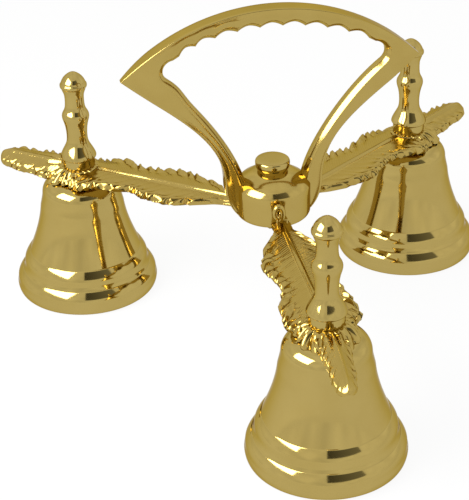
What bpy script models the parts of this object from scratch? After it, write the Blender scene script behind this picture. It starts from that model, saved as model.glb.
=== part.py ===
# A hand chime in polished brass: three bells under feather arms round one hub, with a hand loop above.
# Metres, +Z up. z = 0 is the table under the bell rims, X runs along the hand loop, and the front arm
# points to -Y. The origin is under the middle of the chime's footprint, so the hub stands behind it.

import math

import bmesh
import bpy

MM = 0.001

# Fits
TOUCH_GAP = 0.3 * MM            # between two pieces that rest on each other
HOLE_CLEARANCE = 0.3 * MM       # round a shank in its hole

# Layout
ARM_REACH = 97.5 * MM           # hub axis to bell axis
TIP_OVERHANG = 40.5 * MM        # bell axis to the feather's tip
BACK_ARM_ANGLE = 37.0           # degrees from the loop's plane to each back arm

# Bell
BELL_HEIGHT = 55.2 * MM
MOUTH_RADIUS = 32.8 * MM
MOUTH_HEIGHT = 3.6 * MM         # height of the widest ring above the rim
RIM_RADIUS = 31.4 * MM
RIM_WIDTH = 1.8 * MM            # flat ring that the bell stands on
WAIST_RADIUS = 19.2 * MM
WAIST_HEIGHT = 42.2 * MM
SHOULDER_RADIUS = 17.9 * MM
SHOULDER_ROUND = 5.2 * MM
BELL_WALL = 2.6 * MM
UPPER_ROLL_TOP = 20.5 * MM      # the two rolled steps above the lip
UPPER_ROLL_HEIGHT = 6.0 * MM
LOWER_ROLL_TOP = 10.0 * MM
LOWER_ROLL_HEIGHT = 6.2 * MM
ROLL_STEP = 1.5 * MM

# Finial
FINIAL_HEIGHT = 46.1 * MM
COLLAR_RADIUS = 6.8 * MM
COLLAR_HEIGHT = 3.4 * MM
BULB_RADIUS = 7.9 * MM
LOWER_NECK_RADIUS = 4.05 * MM
BEAD_RADIUS = 5.6 * MM
UPPER_NECK_RADIUS = 4.1 * MM
CAP_RADIUS = 5.85 * MM
CAP_HEIGHT = 7.6 * MM

# Hanger, crown nut and clapper
SHANK_RADIUS = 2.5 * MM
SHANK_IN_FINIAL = 13.0 * MM
CROWN_WASHER_RADIUS = 5.5 * MM
CROWN_WASHER_THICKNESS = 1.0 * MM
CROWN_NUT_FLATS = 8.0 * MM
CROWN_NUT_THICKNESS = 3.0 * MM
EYE_RADIUS = 3.0 * MM           # centreline of the hanger's eye
EYE_WIRE = 1.1 * MM             # wire radius
LINK_WIRE = 0.8 * MM
LINK_PLAY = 0.4 * MM            # each side of the hanger's wire in the link
LINK_SPARE = 1.4 * MM           # between the two eyes that the link joins
ROD_EYE_RADIUS = 2.5 * MM
ROD_EYE_WIRE = 0.9 * MM
ROD_RADIUS = 1.2 * MM
BALL_RADIUS = 7.0 * MM
BALL_HEIGHT = 10.2 * MM         # ball centre above the table
BALL_HOLE_DEPTH = 6.0 * MM

# Arm
SEAT_MARGIN = 1.6 * MM          # round pad outside the finial's collar
SEAT_THICKNESS = 5.4 * MM
SEAT_RELIEF = 0.6 * MM          # feather's top below the pad's
FEATHER_LIFT = 2.2 * MM         # feather's underside above the pad's
FEATHER_THICKNESS = 3.2 * MM
EDGE_THICKNESS = 2.6 * MM
RIB_HEIGHT = 1.0 * MM
RIB_HALF_WIDTH = 1.6 * MM
ROOT_HALF_WIDTH = 4.4 * MM
INNER_LOBE_HALF_WIDTH = 14.6 * MM
GAP_HALF_WIDTH = 11.6 * MM      # between the feather's two lobes
OUTER_LOBE_HALF_WIDTH = 15.0 * MM
TIP_HALF_WIDTH = 6.6 * MM
TIP_ROUND = 6.0 * MM
BARB_PITCH = 5.0 * MM
BARB_DEPTH = 1.8 * MM
KNUCKLE_DEPTH = 5.6 * MM
KNUCKLE_WIDTH = 7.4 * MM
KNUCKLE_HEIGHT = 13.0 * MM
KNUCKLE_SUNK = 3.6 * MM         # knuckle's foot below the feather's top
TONGUE_WIDTH = 5.0 * MM
TONGUE_THICKNESS = 4.0 * MM
TONGUE_END = 6.0 * MM           # hub axis to the tongue's inner end

# Hub
HUB_RADIUS = 16.2 * MM
HUB_SIDE_HEIGHT = 18.2 * MM
HUB_DOME_RISE = 1.3 * MM
HUB_BOTTOM_ROUND = 2.6 * MM
HUB_TOP_ROUND = 2.2 * MM
HUB_LIFT = 2.2 * MM             # hub's lower edge above the arm pads' underside
CAVITY_RADIUS = 11.7 * MM
CROWN_THICKNESS = 3.8 * MM
BASE_PLATE_THICKNESS = 1.8 * MM
STUD_RADIUS = 3.0 * MM
STUD_BELOW_NUT = 1.0 * MM
KNOB_RADIUS = 8.0 * MM
KNOB_TOP_RADIUS = 6.6 * MM
KNOB_HEIGHT = 6.3 * MM
KNOB_TOP_THICKNESS = 1.8 * MM   # over the stud's hole
CENTRE_WASHER_RADIUS = 5.4 * MM
CENTRE_WASHER_THICKNESS = 1.0 * MM
CENTRE_NUT_FLATS = 9.0 * MM
CENTRE_NUT_THICKNESS = 4.0 * MM
SCREW_RADIUS = 1.25 * MM
SCREW_HEAD_RADIUS = 2.1 * MM
SCREW_HEAD_HEIGHT = 1.1 * MM
SCREW_IN_TONGUE = 3.0 * MM

# Hand loop
LOOP_HEIGHT = 76.8 * MM         # hub rim to the top of the arc
LOOP_HALF_WIDTH = 63.2 * MM     # hub axis to each corner
CORNER_HEIGHT = 50.2 * MM       # hub rim to the corners
LOOP_THICKNESS = 7.8 * MM
BAND_WIDTH = 8.3 * MM           # the arc's width at its top, between two finger notches
GRIP_RADIUS = 97.0 * MM         # arc that the cusps between the finger notches lie on
SCALLOP_COUNT = 9
SCALLOP_PITCH = 9.5 * MM
SCALLOP_DEPTH = 1.6 * MM
CORNER_INSET = 19.5 * MM        # corner to the middle of the rounded inner corner
CORNER_RISE = 2.6 * MM
CORNER_ROUND = 4.9 * MM
LEG_FOOT_PROUD = 4.9 * MM       # each leg's outer side outside the hub's side
LEG_FOOT_WIDTH = 8.9 * MM
LEG_SLOPE = 38.0                # degrees from level where a leg leaves its corner
INNER_ROUND = 1.8 * MM
OUTER_ROUND = 0.6 * MM

# Levels and radii that the sizes above give
ARM_LEVEL = BELL_HEIGHT + TOUCH_GAP
SEAT_RADIUS = COLLAR_RADIUS + SEAT_MARGIN
SEAT_TOP = ARM_LEVEL + SEAT_THICKNESS
FEATHER_UNDERSIDE = ARM_LEVEL + FEATHER_LIFT
FEATHER_TOP = FEATHER_UNDERSIDE + FEATHER_THICKNESS
ARM_TIP = ARM_REACH + TIP_OVERHANG
FINIAL_BASE = SEAT_TOP + TOUCH_GAP
HUB_BOTTOM = ARM_LEVEL + HUB_LIFT
HUB_RIM = HUB_BOTTOM + HUB_SIDE_HEIGHT
HUB_TOP = HUB_RIM + HUB_DOME_RISE
KNOB_BASE = HUB_TOP + TOUCH_GAP
STUD_IN_KNOB = KNOB_HEIGHT - KNOB_TOP_THICKNESS - TOUCH_GAP
PLATE_TOP = HUB_BOTTOM + BASE_PLATE_THICKNESS
TONGUE_BOTTOM = PLATE_TOP + TOUCH_GAP
ARM_ROOT = HUB_RADIUS + TOUCH_GAP
SCREW_CIRCLE = (TONGUE_END + CAVITY_RADIUS) / 2
CROWN_INSIDE = BELL_HEIGHT - BELL_WALL
CROWN_WASHER_BASE = CROWN_INSIDE - TOUCH_GAP - CROWN_WASHER_THICKNESS
CROWN_NUT_BASE = CROWN_WASHER_BASE - TOUCH_GAP - CROWN_NUT_THICKNESS
SHANK_HOLE = SHANK_RADIUS + HOLE_CLEARANCE
STUD_HOLE = STUD_RADIUS + HOLE_CLEARANCE
SCREW_HOLE = SCREW_RADIUS + HOLE_CLEARANCE
LINK_RADIUS = EYE_WIRE + LINK_PLAY + LINK_WIRE
LINK_LENGTH = EYE_WIRE + LINK_SPARE + 2 * ROD_EYE_WIRE + TOUCH_GAP + LINK_WIRE

# The hanger's wire leaves its shank in an S-bend of the eye's own radius. The eye comes back under the
# shank only if the wire turns by this angle, which fixes where the eye lies.
EYE_BEND = math.degrees(math.acos(0.5))
THREAD_BELOW_NUT = 0.5 * MM
NECK_TAPER = 0.5 * MM
NECK_DROP = 2 * EYE_RADIUS * math.sin(math.radians(EYE_BEND))
SHANK_END = CROWN_NUT_BASE - THREAD_BELOW_NUT
EYE_CENTRE = SHANK_END - NECK_TAPER - NECK_DROP
LINK_PIVOT = EYE_CENTRE - EYE_RADIUS
ROD_PIVOT = LINK_PIVOT - LINK_LENGTH
ROD_LENGTH = ROD_PIVOT - BALL_HEIGHT

# The footprint reaches from the front feather's tip to the back bells' mouths
BACK_REACH = ARM_REACH * math.sin(math.radians(BACK_ARM_ANGLE)) + MOUTH_RADIUS
HUB_BEHIND_ORIGIN = (ARM_TIP - BACK_REACH) / 2

STATIONS = {"front": -90.0, "left": 180.0 - BACK_ARM_ANGLE, "right": BACK_ARM_ANGLE}
CUT_PAST = 1.0 * MM             # how far a cutter runs past what it cuts


def ease(share):
    return (1 - math.cos(math.pi * min(max(share, 0), 1))) / 2


def eased_value(keys, place):
    """Value at a place, easing from key to key, so that each key is a rounded high or low point."""
    if place <= keys[0][0]:
        return keys[0][1]
    for (place_a, value_a), (place_b, value_b) in zip(keys, keys[1:]):
        if place <= place_b:
            return value_a + (value_b - value_a) * ease((place - place_a) / (place_b - place_a))
    return keys[-1][1]


def bezier(controls, share):
    weights = ((1 - share) ** 3, 3 * share * (1 - share) ** 2, 3 * share ** 2 * (1 - share), share ** 3)
    return tuple(sum(w * p[axis] for w, p in zip(weights, controls)) for axis in (0, 1))


def polar(centre, radius, degrees):
    angle = math.radians(degrees)
    return centre[0] + radius * math.cos(angle), centre[1] + radius * math.sin(angle)


def arc(centre, radius, start, end, steps):
    return [polar(centre, radius, start + (end - start) * k / steps) for k in range(steps + 1)]


def brass(name):
    """A polished brass of the piece's own."""
    material = bpy.data.materials.new(name + "_brass")
    material.use_nodes = True
    shader = material.node_tree.nodes["Principled BSDF"]
    shader.inputs["Base Color"].default_value = (0.74, 0.60, 0.25, 1)
    shader.inputs["Metallic"].default_value = 1.0
    shader.inputs["Roughness"].default_value = 0.16
    return material


def empty(name, parent=None, location=(0, 0, 0), turn=0.0):
    marker = bpy.data.objects.new(name, None)
    marker.parent = parent
    marker.location = location
    marker.rotation_euler = (0, 0, math.radians(turn))
    bpy.context.collection.objects.link(marker)
    return marker


def place(name, data, parent, location=(0, 0, 0)):
    piece = bpy.data.objects.new(name, data)
    piece.parent = parent
    piece.location = location
    data.materials.append(brass(name))
    bpy.context.collection.objects.link(piece)
    return piece


def shape_with(piece, mesh, operation, location=(0, 0, 0)):
    """Join a hidden helper solid to a piece, or cut it away."""
    helper = bpy.data.objects.new(mesh.name, mesh)
    helper.parent = piece.parent
    helper.location = location
    helper.hide_render = True
    helper.display_type = "WIRE"
    bpy.context.collection.objects.link(helper)
    boolean = piece.modifiers.new(mesh.name, "BOOLEAN")
    boolean.operation = operation
    boolean.object = helper
    boolean.solver = "EXACT"


def finish_mesh(bm, name):
    bmesh.ops.recalc_face_normals(bm, faces=bm.faces)
    mesh = bpy.data.meshes.new(name)
    bm.to_mesh(mesh)
    bm.free()
    mesh.shade_smooth()
    mesh.set_sharp_from_angle(angle=math.radians(35))
    return mesh


def turned(name, outline, segments):
    """Spin an outline of (radius, height) points. One that starts and ends on the axis is left open."""
    bm = bmesh.new()
    verts = [bm.verts.new((radius, 0, height)) for radius, height in outline]
    edges = [bm.edges.new(pair) for pair in zip(verts, verts[1:])]
    if outline[0][0] > 0:
        edges.append(bm.edges.new((verts[-1], verts[0])))
    bmesh.ops.spin(bm, geom=verts + edges, axis=(0, 0, 1), cent=(0, 0, 0), angle=math.tau,
                   steps=segments, use_merge=True)
    bmesh.ops.remove_doubles(bm, verts=bm.verts, dist=0.001 * MM)
    return finish_mesh(bm, name)


def lofted(name, sections):
    """Skin a row of closed sections, each with the same number of points, and cap both ends."""
    bm = bmesh.new()
    rings = [[bm.verts.new(point) for point in section] for section in sections]
    for ring_a, ring_b in zip(rings, rings[1:]):
        for k in range(len(ring_a)):
            after = (k + 1) % len(ring_a)
            bm.faces.new((ring_a[k], ring_a[after], ring_b[after], ring_b[k]))
    bm.faces.new(rings[0])
    bm.faces.new(rings[-1])
    return finish_mesh(bm, name)


def box(name, low, high, turn=0.0):
    bm = bmesh.new()
    bmesh.ops.create_cube(bm, size=1)
    for vert in bm.verts:
        x, y, z = (low[axis] if vert.co[axis] < 0 else high[axis] for axis in range(3))
        reach, angle = math.hypot(x, y), math.degrees(math.atan2(y, x))
        vert.co = (*polar((0, 0), reach, angle + turn), z)
    return finish_mesh(bm, name)


def cylinder(name, radius, low, high, segments=12):
    return turned(name, [(0, low), (radius, low), (radius, high), (0, high)], segments)


def washer(name, radius, thickness, bore):
    return turned(name, [(bore, 0), (radius, 0), (radius, thickness), (bore, thickness)], 16)


def nut(name, flats, thickness, bore):
    """Hexagonal ring whose outer side is moved out from a circle to the six flats."""
    half = flats / 2
    mesh = turned(name, [(bore, 0), (half, 0), (half, thickness), (bore, thickness)], 12)
    sixth = math.tau / 6
    for vert in mesh.vertices:
        if math.hypot(vert.co.x, vert.co.y) > (bore + half) / 2:
            off_flat = math.atan2(vert.co.y, vert.co.x) % sixth - sixth / 2
            vert.co.x /= math.cos(off_flat)
            vert.co.y /= math.cos(off_flat)
    return mesh


def wire(name, points, radii, closed=False):
    """Round wire along points, with its own radius at each."""
    curve = bpy.data.curves.new(name, "CURVE")
    curve.dimensions = "3D"
    curve.bevel_depth = MM
    curve.bevel_resolution = 1
    curve.use_fill_caps = not closed
    spline = curve.splines.new("POLY")
    spline.points.add(len(points) - 1)
    for spot, point, radius in zip(spline.points, points, radii):
        spot.co = (*point, 1)
        spot.radius = radius / MM
    spline.use_cyclic_u = closed
    return curve


def flare_radius(height):
    """Radius of the bell's plain flare, from its waist down to its widest ring."""
    drop = WAIST_HEIGHT - MOUTH_HEIGHT
    spread = MOUTH_RADIUS - WAIST_RADIUS
    controls = ((WAIST_RADIUS, WAIST_HEIGHT),
                (WAIST_RADIUS + 0.12 * spread, WAIST_HEIGHT - 0.38 * drop),
                (MOUTH_RADIUS - 0.34 * spread, MOUTH_HEIGHT + 0.29 * drop),
                (MOUTH_RADIUS, MOUTH_HEIGHT))
    path = [bezier(controls, k / 40) for k in range(41)]
    for (radius_a, height_a), (radius_b, height_b) in zip(path, path[1:]):
        if height >= height_b:
            share = min(max((height_a - height) / (height_a - height_b), 0), 1)
            return radius_a + (radius_b - radius_a) * share
    return MOUTH_RADIUS


def roll(top, height):
    """A rolled step that stands proud at its top and runs out at its foot."""
    points = [(flare_radius(top), top)]
    for share, proud in ((0.0, 0.7), (0.4, 0.75), (1.0, 0.0)):
        level = top - height * share
        points.append((flare_radius(level) + ROLL_STEP * proud, level))
    return points


def bell_mesh():
    shoulder_centre = (SHOULDER_RADIUS - SHOULDER_ROUND, BELL_HEIGHT - SHOULDER_ROUND)
    flare_drop = WAIST_HEIGHT - UPPER_ROLL_TOP
    outline = [(SHANK_HOLE, BELL_HEIGHT)]
    outline += arc(shoulder_centre, SHOULDER_ROUND, 90, 0, 3)
    for share in (0, 0.4, 0.75):
        level = WAIST_HEIGHT - flare_drop * share
        outline.append((flare_radius(level), level))
    outline += roll(UPPER_ROLL_TOP, UPPER_ROLL_HEIGHT)
    outline += roll(LOWER_ROLL_TOP, LOWER_ROLL_HEIGHT)
    outline += [(MOUTH_RADIUS - 0.25 * (MOUTH_RADIUS - RIM_RADIUS), 0.3 * MOUTH_HEIGHT), (RIM_RADIUS, 0)]
    outline += [(RIM_RADIUS - RIM_WIDTH, 0)]
    for share in (0.15, 0.35, 0.6, 1):
        level = MOUTH_HEIGHT + (WAIST_HEIGHT - MOUTH_HEIGHT) * share
        outline.append((flare_radius(level) - BELL_WALL, level))
    inner_radius = SHOULDER_RADIUS - BELL_WALL
    inner_round = SHOULDER_ROUND - BELL_WALL
    outline += [(inner_radius, CROWN_INSIDE - inner_round), (inner_radius - inner_round, CROWN_INSIDE)]
    outline += [(SHANK_HOLE, CROWN_INSIDE)]
    return turned("bell", outline, 26)


def finial_mesh():
    """Domed cap, neck, bead, neck, bulb and collar, with a blind hole for the hanger's shank."""
    bulb_height = COLLAR_HEIGHT + 0.065 * FINIAL_HEIGHT
    cap_base = FINIAL_HEIGHT - CAP_HEIGHT
    keys = [(bulb_height, BULB_RADIUS), (0.36 * FINIAL_HEIGHT, LOWER_NECK_RADIUS),
            (0.535 * FINIAL_HEIGHT, BEAD_RADIUS), (0.70 * FINIAL_HEIGHT, UPPER_NECK_RADIUS),
            (cap_base, CAP_RADIUS)]
    hole_depth = SHANK_IN_FINIAL + TOUCH_GAP
    outline = [(0, hole_depth), (SHANK_HOLE, hole_depth), (SHANK_HOLE, 0)]
    outline += [(COLLAR_RADIUS, 0), (COLLAR_RADIUS, COLLAR_HEIGHT)]
    steps = 12
    for k in range(steps + 1):
        level = bulb_height + (cap_base - bulb_height) * k / steps
        outline.append((eased_value(keys, level), level))
    dome = arc((0, 0), 1, 30, 70, 2)
    outline += [(CAP_RADIUS * across, cap_base + CAP_HEIGHT * up) for across, up in dome]
    outline += [(0, FINIAL_HEIGHT)]
    return turned("finial", outline, 14)


def loop_stations():
    """(outer, inner) pairs of (x, z) points, from the right leg's end in the hub up to the arc's top."""
    corner = (LOOP_HALF_WIDTH, HUB_RIM + CORNER_HEIGHT)
    sagitta = LOOP_HEIGHT - CORNER_HEIGHT
    outer_radius = (LOOP_HALF_WIDTH ** 2 + sagitta ** 2) / (2 * sagitta)
    outer_centre = (0, HUB_RIM + LOOP_HEIGHT - outer_radius)
    corner_angle = math.degrees(math.asin(LOOP_HALF_WIDTH / outer_radius))
    grip_centre = (0, HUB_RIM + LOOP_HEIGHT - BAND_WIDTH - GRIP_RADIUS)
    pitch_angle = math.degrees(SCALLOP_PITCH / GRIP_RADIUS)
    first_cusp = SCALLOP_COUNT * pitch_angle / 2
    outer_share = GRIP_RADIUS / outer_radius
    round_centre = (corner[0] - CORNER_INSET, corner[1] + CORNER_RISE)
    round_start, round_end = -50, 85
    foot_level = HUB_RIM - HUB_TOP_ROUND
    foot_outer = (HUB_RADIUS + LEG_FOOT_PROUD, foot_level)
    foot_inner = (foot_outer[0] - LEG_FOOT_WIDTH, foot_level)
    leg_length = math.dist(corner, foot_outer)
    stations = []

    # The leg's end sinks into the hub's wall, so that the leg runs out in the hub's side
    side = foot_level - HUB_BOTTOM
    wall_middle = (CAVITY_RADIUS + HUB_RADIUS) / 2
    sunk = (foot_outer, (foot_outer[0], foot_level - 0.4 * side),
            (HUB_RADIUS + 0.4 * LEG_FOOT_PROUD, HUB_BOTTOM + 0.2 * side), (wall_middle, HUB_BOTTOM + 0.03 * side))
    for k in range(3):
        outer = bezier(sunk, 1 - k / 3)
        stations.append((outer, (wall_middle - 0.4 * (HUB_RADIUS - CAVITY_RADIUS), outer[1])))

    # The leg widens from the hub to its corner
    start = polar(round_centre, CORNER_ROUND, round_start)
    outer_leg = (corner, polar(corner, 0.49 * leg_length, 180 + LEG_SLOPE),
                 (foot_outer[0], foot_level + 0.32 * leg_length), foot_outer)
    inner_leg = (start, polar(start, 0.32 * leg_length, 180 + LEG_SLOPE),
                 (foot_inner[0] + 0.22 * LEG_FOOT_WIDTH, foot_level + 0.19 * leg_length), foot_inner)
    leg_steps = 8
    for k in range(leg_steps):
        share = 1 - k / leg_steps
        stations.append((bezier(outer_leg, 0.12 + 0.88 * share), bezier(inner_leg, share)))

    # Round the small inner corner the stations fan out
    fan = [bezier(outer_leg, 0.12), bezier(outer_leg, 0.05), corner]
    arc_start = 90 - corner_angle
    arc_end = 90 - first_cusp * outer_share
    for share in (0.2, 0.4, 0.6, 0.8):
        fan.append(polar(outer_centre, outer_radius, arc_start + (arc_end - arc_start) * share))
    for k, outer in enumerate(fan):
        turn = round_start + (round_end - round_start) * k / (len(fan) - 1)
        stations.append((outer, polar(round_centre, CORNER_ROUND, turn)))

    # Finger notches, as shallow hollows between cusps
    cuts = 4
    for k in range(SCALLOP_COUNT * cuts // 2 + 1):
        off_top = first_cusp - k * pitch_angle / cuts
        across = 2 * (k % cuts) / cuts - 1
        notch = SCALLOP_DEPTH * (1 - across ** 2)
        stations.append((polar(outer_centre, outer_radius, 90 - off_top * outer_share),
                         polar(grip_centre, GRIP_RADIUS + notch, 90 - off_top)))
    return stations


def loop_section(outer, inner):
    """The bar's section: a crisp outer edge and a well rounded inner one."""
    width = math.dist(outer, inner)
    half = LOOP_THICKNESS / 2
    inner_round = min(INNER_ROUND, 0.5 * width)
    outer_round = min(OUTER_ROUND, 0.2 * width)
    eased = inner_round * (1 - math.cos(math.radians(45)))
    side = [(width, half - outer_round), (width - outer_round, half), (inner_round, half),
            (eased, half - eased), (0, half - inner_round)]
    outline = [(along, -across) for along, across in side] + list(reversed(side))
    points = []
    for along, across in outline:
        share = along / width
        x, z = (near + (far - near) * share for near, far in zip(inner, outer))
        points.append((x, across, z))
    return points


def hand_loop_mesh():
    right = loop_stations()
    left = [((-outer[0], outer[1]), (-inner[0], inner[1])) for outer, inner in reversed(right[:-1])]
    return lofted("hand_loop", [loop_section(outer, inner) for outer, inner in right + left])


def hub_mesh():
    """Domed cup with a hole in its crown, open below."""
    seat = KNOB_RADIUS + TOUCH_GAP
    ceiling = HUB_TOP - CROWN_THICKNESS
    cavity_round = 0.2 * CAVITY_RADIUS
    foot_centre = (HUB_RADIUS - HUB_BOTTOM_ROUND, HUB_BOTTOM + HUB_BOTTOM_ROUND)
    rim_centre = (HUB_RADIUS - HUB_TOP_ROUND, HUB_RIM - HUB_TOP_ROUND)
    outline = [(CAVITY_RADIUS, HUB_BOTTOM)]
    outline += arc(foot_centre, HUB_BOTTOM_ROUND, -90, 0, 3)
    outline += arc(rim_centre, HUB_TOP_ROUND, 0, 80, 3)
    outline += [(seat, HUB_TOP), (STUD_HOLE, HUB_TOP), (STUD_HOLE, ceiling)]
    outline += [(CAVITY_RADIUS - cavity_round, ceiling), (CAVITY_RADIUS, ceiling - cavity_round)]
    return turned("hub", outline, 32)


def handle_and_hub(hub_axis):
    """One casting: the hub, the loop that grows from it, and three windows for the arms' tongues."""
    casting = place("handle_and_hub", hub_mesh(), hub_axis)
    shape_with(casting, hand_loop_mesh(), "UNION")
    low = TONGUE_BOTTOM - HOLE_CLEARANCE
    high = TONGUE_BOTTOM + TONGUE_THICKNESS + HOLE_CLEARANCE
    half = TONGUE_WIDTH / 2 + HOLE_CLEARANCE
    for station, turn in STATIONS.items():
        window = box(station + "_window", (0.8 * CAVITY_RADIUS, -half, low), (ARM_ROOT, half, high), turn)
        shape_with(casting, window, "DIFFERENCE")


def hub_fixings(hub_axis):
    """Base plate under the arms' tongues, and the stud, washer and nut that hold it."""
    plate_radius = CAVITY_RADIUS - TOUCH_GAP
    plate = place("hub_base_plate", washer("base_plate", plate_radius, BASE_PLATE_THICKNESS, STUD_HOLE),
                  hub_axis, (0, 0, HUB_BOTTOM))
    for station, turn in STATIONS.items():
        hole = cylinder(station + "_screw_hole", SCREW_HOLE, -CUT_PAST, BASE_PLATE_THICKNESS + CUT_PAST)
        shape_with(plate, hole, "DIFFERENCE", (*polar((0, 0), SCREW_CIRCLE, turn), HUB_BOTTOM))
    washer_base = HUB_BOTTOM - TOUCH_GAP - CENTRE_WASHER_THICKNESS
    nut_base = washer_base - TOUCH_GAP - CENTRE_NUT_THICKNESS
    place("centre_washer", washer("centre_washer", CENTRE_WASHER_RADIUS, CENTRE_WASHER_THICKNESS, STUD_HOLE),
          hub_axis, (0, 0, washer_base))
    place("centre_nut", nut("centre_nut", CENTRE_NUT_FLATS, CENTRE_NUT_THICKNESS, STUD_HOLE),
          hub_axis, (0, 0, nut_base))
    place("centre_stud", cylinder("centre_stud", STUD_RADIUS, nut_base - STUD_BELOW_NUT,
                                  KNOB_BASE + STUD_IN_KNOB, 16), hub_axis)


def knob(hub_axis):
    """Round cap nut: a broad foot, a straight side and an eased flat top."""
    hole = STUD_IN_KNOB + TOUCH_GAP
    outline = [(0, hole), (STUD_HOLE, hole), (STUD_HOLE, 0), (KNOB_RADIUS, 0)]
    outline += [(KNOB_RADIUS, 0.13 * KNOB_HEIGHT), (KNOB_TOP_RADIUS, 0.4 * KNOB_HEIGHT)]
    outline += [(KNOB_TOP_RADIUS, 0.87 * KNOB_HEIGHT), (0.88 * KNOB_TOP_RADIUS, KNOB_HEIGHT), (0, KNOB_HEIGHT)]
    place("centre_cap_nut", turned("centre_cap_nut", outline, 24), hub_axis, (0, 0, KNOB_BASE))


def feather_half_width(reach):
    """Half width of the feather at a distance from the hub's axis: two lobes and a narrow rounded tip."""
    span = ARM_REACH - ARM_ROOT
    keys = [(0.05 * span, ROOT_HALF_WIDTH), (0.47 * span, INNER_LOBE_HALF_WIDTH),
            (0.67 * span, GAP_HALF_WIDTH), (0.89 * span, OUTER_LOBE_HALF_WIDTH),
            (span + 0.6 * TIP_OVERHANG, TIP_HALF_WIDTH)]
    return eased_value(keys, reach - ARM_ROOT)


def feather_section(reach, notch):
    """One section across the feather, its edges drawn in by a notch."""
    past_round = max(0, reach - (ARM_TIP - TIP_ROUND)) / TIP_ROUND
    end = math.sqrt(max(0.04, 1 - past_round ** 2))
    half = feather_half_width(reach) * end
    off_seat = ease((abs(reach - ARM_REACH) - SEAT_RADIUS) / (0.6 * SEAT_RADIUS))
    at_seat = SEAT_THICKNESS - FEATHER_LIFT - SEAT_RELIEF
    middle = at_seat + (FEATHER_THICKNESS - at_seat) * off_seat
    rib_top = middle + RIB_HEIGHT * off_seat
    edge = min(EDGE_THICKNESS, middle)
    centre = FEATHER_THICKNESS / 2
    rib = min(RIB_HALF_WIDTH, 0.3 * half)
    right = [(half - notch, 0), (half - notch, edge), (0.5 * half, middle), (rib, middle)]
    outline = right + [(0, rib_top)] + [(-across, up) for across, up in reversed(right)]
    return [(reach, across, FEATHER_UNDERSIDE + centre + (up - centre) * end) for across, up in outline]


def feather_mesh():
    """The barbed feather: the edge runs out along every barb and steps back in at the next."""
    barbed_from = ARM_ROOT + 0.12 * (ARM_REACH - ARM_ROOT)
    barbed_to = ARM_REACH + 0.45 * TIP_OVERHANG
    count = round((barbed_to - barbed_from) / BARB_PITCH)
    pitch = (barbed_to - barbed_from) / count
    sections = [feather_section(ARM_ROOT, 0)]
    for k in range(count):
        start = barbed_from + k * pitch
        sections.append(feather_section(start, BARB_DEPTH))
        sections.append(feather_section(start + 0.7 * pitch, 0))
    for share in (0, 0.35, 0.7, 0.85, 0.94, 1):
        sections.append(feather_section(barbed_to + (ARM_TIP - barbed_to) * share, 0))
    return lofted("feather", sections)


def knuckle_mesh():
    """The bud that stands against the hub's side on the feather's root."""
    bm = bmesh.new()
    bmesh.ops.create_uvsphere(bm, u_segments=10, v_segments=8, radius=0.5)
    bmesh.ops.scale(bm, verts=bm.verts, vec=(KNUCKLE_DEPTH, KNUCKLE_WIDTH, KNUCKLE_HEIGHT))
    return finish_mesh(bm, "knuckle")


def arm(station, arm_axis):
    """Feather casting with its bell seat, its knuckle and the tongue that the hub holds, and its screw."""
    feather = place(station + "_arm", feather_mesh(), arm_axis)
    tongue = box(station + "_tongue", (TONGUE_END, -TONGUE_WIDTH / 2, TONGUE_BOTTOM),
                 (ARM_ROOT + 0.6 * KNUCKLE_DEPTH, TONGUE_WIDTH / 2, TONGUE_BOTTOM + TONGUE_THICKNESS))
    shape_with(feather, tongue, "UNION")
    pad = cylinder(station + "_pad", SEAT_RADIUS, ARM_LEVEL, SEAT_TOP, 20)
    shape_with(feather, pad, "UNION", (ARM_REACH, 0, 0))
    knuckle_middle = FEATHER_TOP - KNUCKLE_SUNK + KNUCKLE_HEIGHT / 2
    shape_with(feather, knuckle_mesh(), "UNION", (ARM_ROOT + KNUCKLE_DEPTH / 2, 0, knuckle_middle))
    thread_end = TONGUE_BOTTOM + SCREW_IN_TONGUE
    tapped = cylinder(station + "_tapped_hole", SCREW_HOLE, TONGUE_BOTTOM - CUT_PAST, thread_end + TOUCH_GAP)
    shape_with(feather, tapped, "DIFFERENCE", (SCREW_CIRCLE, 0, 0))
    bore = cylinder(station + "_bore", SHANK_HOLE, ARM_LEVEL - CUT_PAST, SEAT_TOP + CUT_PAST)
    shape_with(feather, bore, "DIFFERENCE", (ARM_REACH, 0, 0))

    head_top = HUB_BOTTOM - TOUCH_GAP
    head_low = head_top - SCREW_HEAD_HEIGHT
    screw = [(0, head_low), (SCREW_HEAD_RADIUS, head_low), (SCREW_HEAD_RADIUS, head_top),
             (SCREW_RADIUS, head_top), (SCREW_RADIUS, thread_end), (0, thread_end)]
    place(station + "_arm_screw", turned(station + "_arm_screw", screw, 12), arm_axis, (SCREW_CIRCLE, 0, 0))


def bent_eye(centre, radius):
    """Wire path in the XZ plane: down an S-bend from the axis above, then round to just short of a full eye."""
    neck_centre = (radius, centre + 2 * radius * math.sin(math.radians(EYE_BEND)))
    neck = arc(neck_centre, radius, 180, 180 + EYE_BEND, 3)
    eye = arc((0, centre), radius, EYE_BEND, -245, 10)
    return [(x, 0, z) for x, z in neck + eye[1:]]


def hanger(station, bell_axis):
    """Threaded shank up through the bell's crown and the arm into the finial, with a wire eye below."""
    eye = bent_eye(EYE_CENTRE, EYE_RADIUS)
    path = [(0, 0, FINIAL_BASE + SHANK_IN_FINIAL), (0, 0, SHANK_END)] + eye
    radii = [SHANK_RADIUS, SHANK_RADIUS] + [EYE_WIRE] * len(eye)
    place(station + "_hanger_eye", wire("hanger_eye", path, radii), bell_axis)
    place(station + "_crown_washer",
          washer("crown_washer", CROWN_WASHER_RADIUS, CROWN_WASHER_THICKNESS, SHANK_HOLE),
          bell_axis, (0, 0, CROWN_WASHER_BASE))
    place(station + "_crown_nut", nut("crown_nut", CROWN_NUT_FLATS, CROWN_NUT_THICKNESS, SHANK_HOLE),
          bell_axis, (0, 0, CROWN_NUT_BASE))


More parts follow.
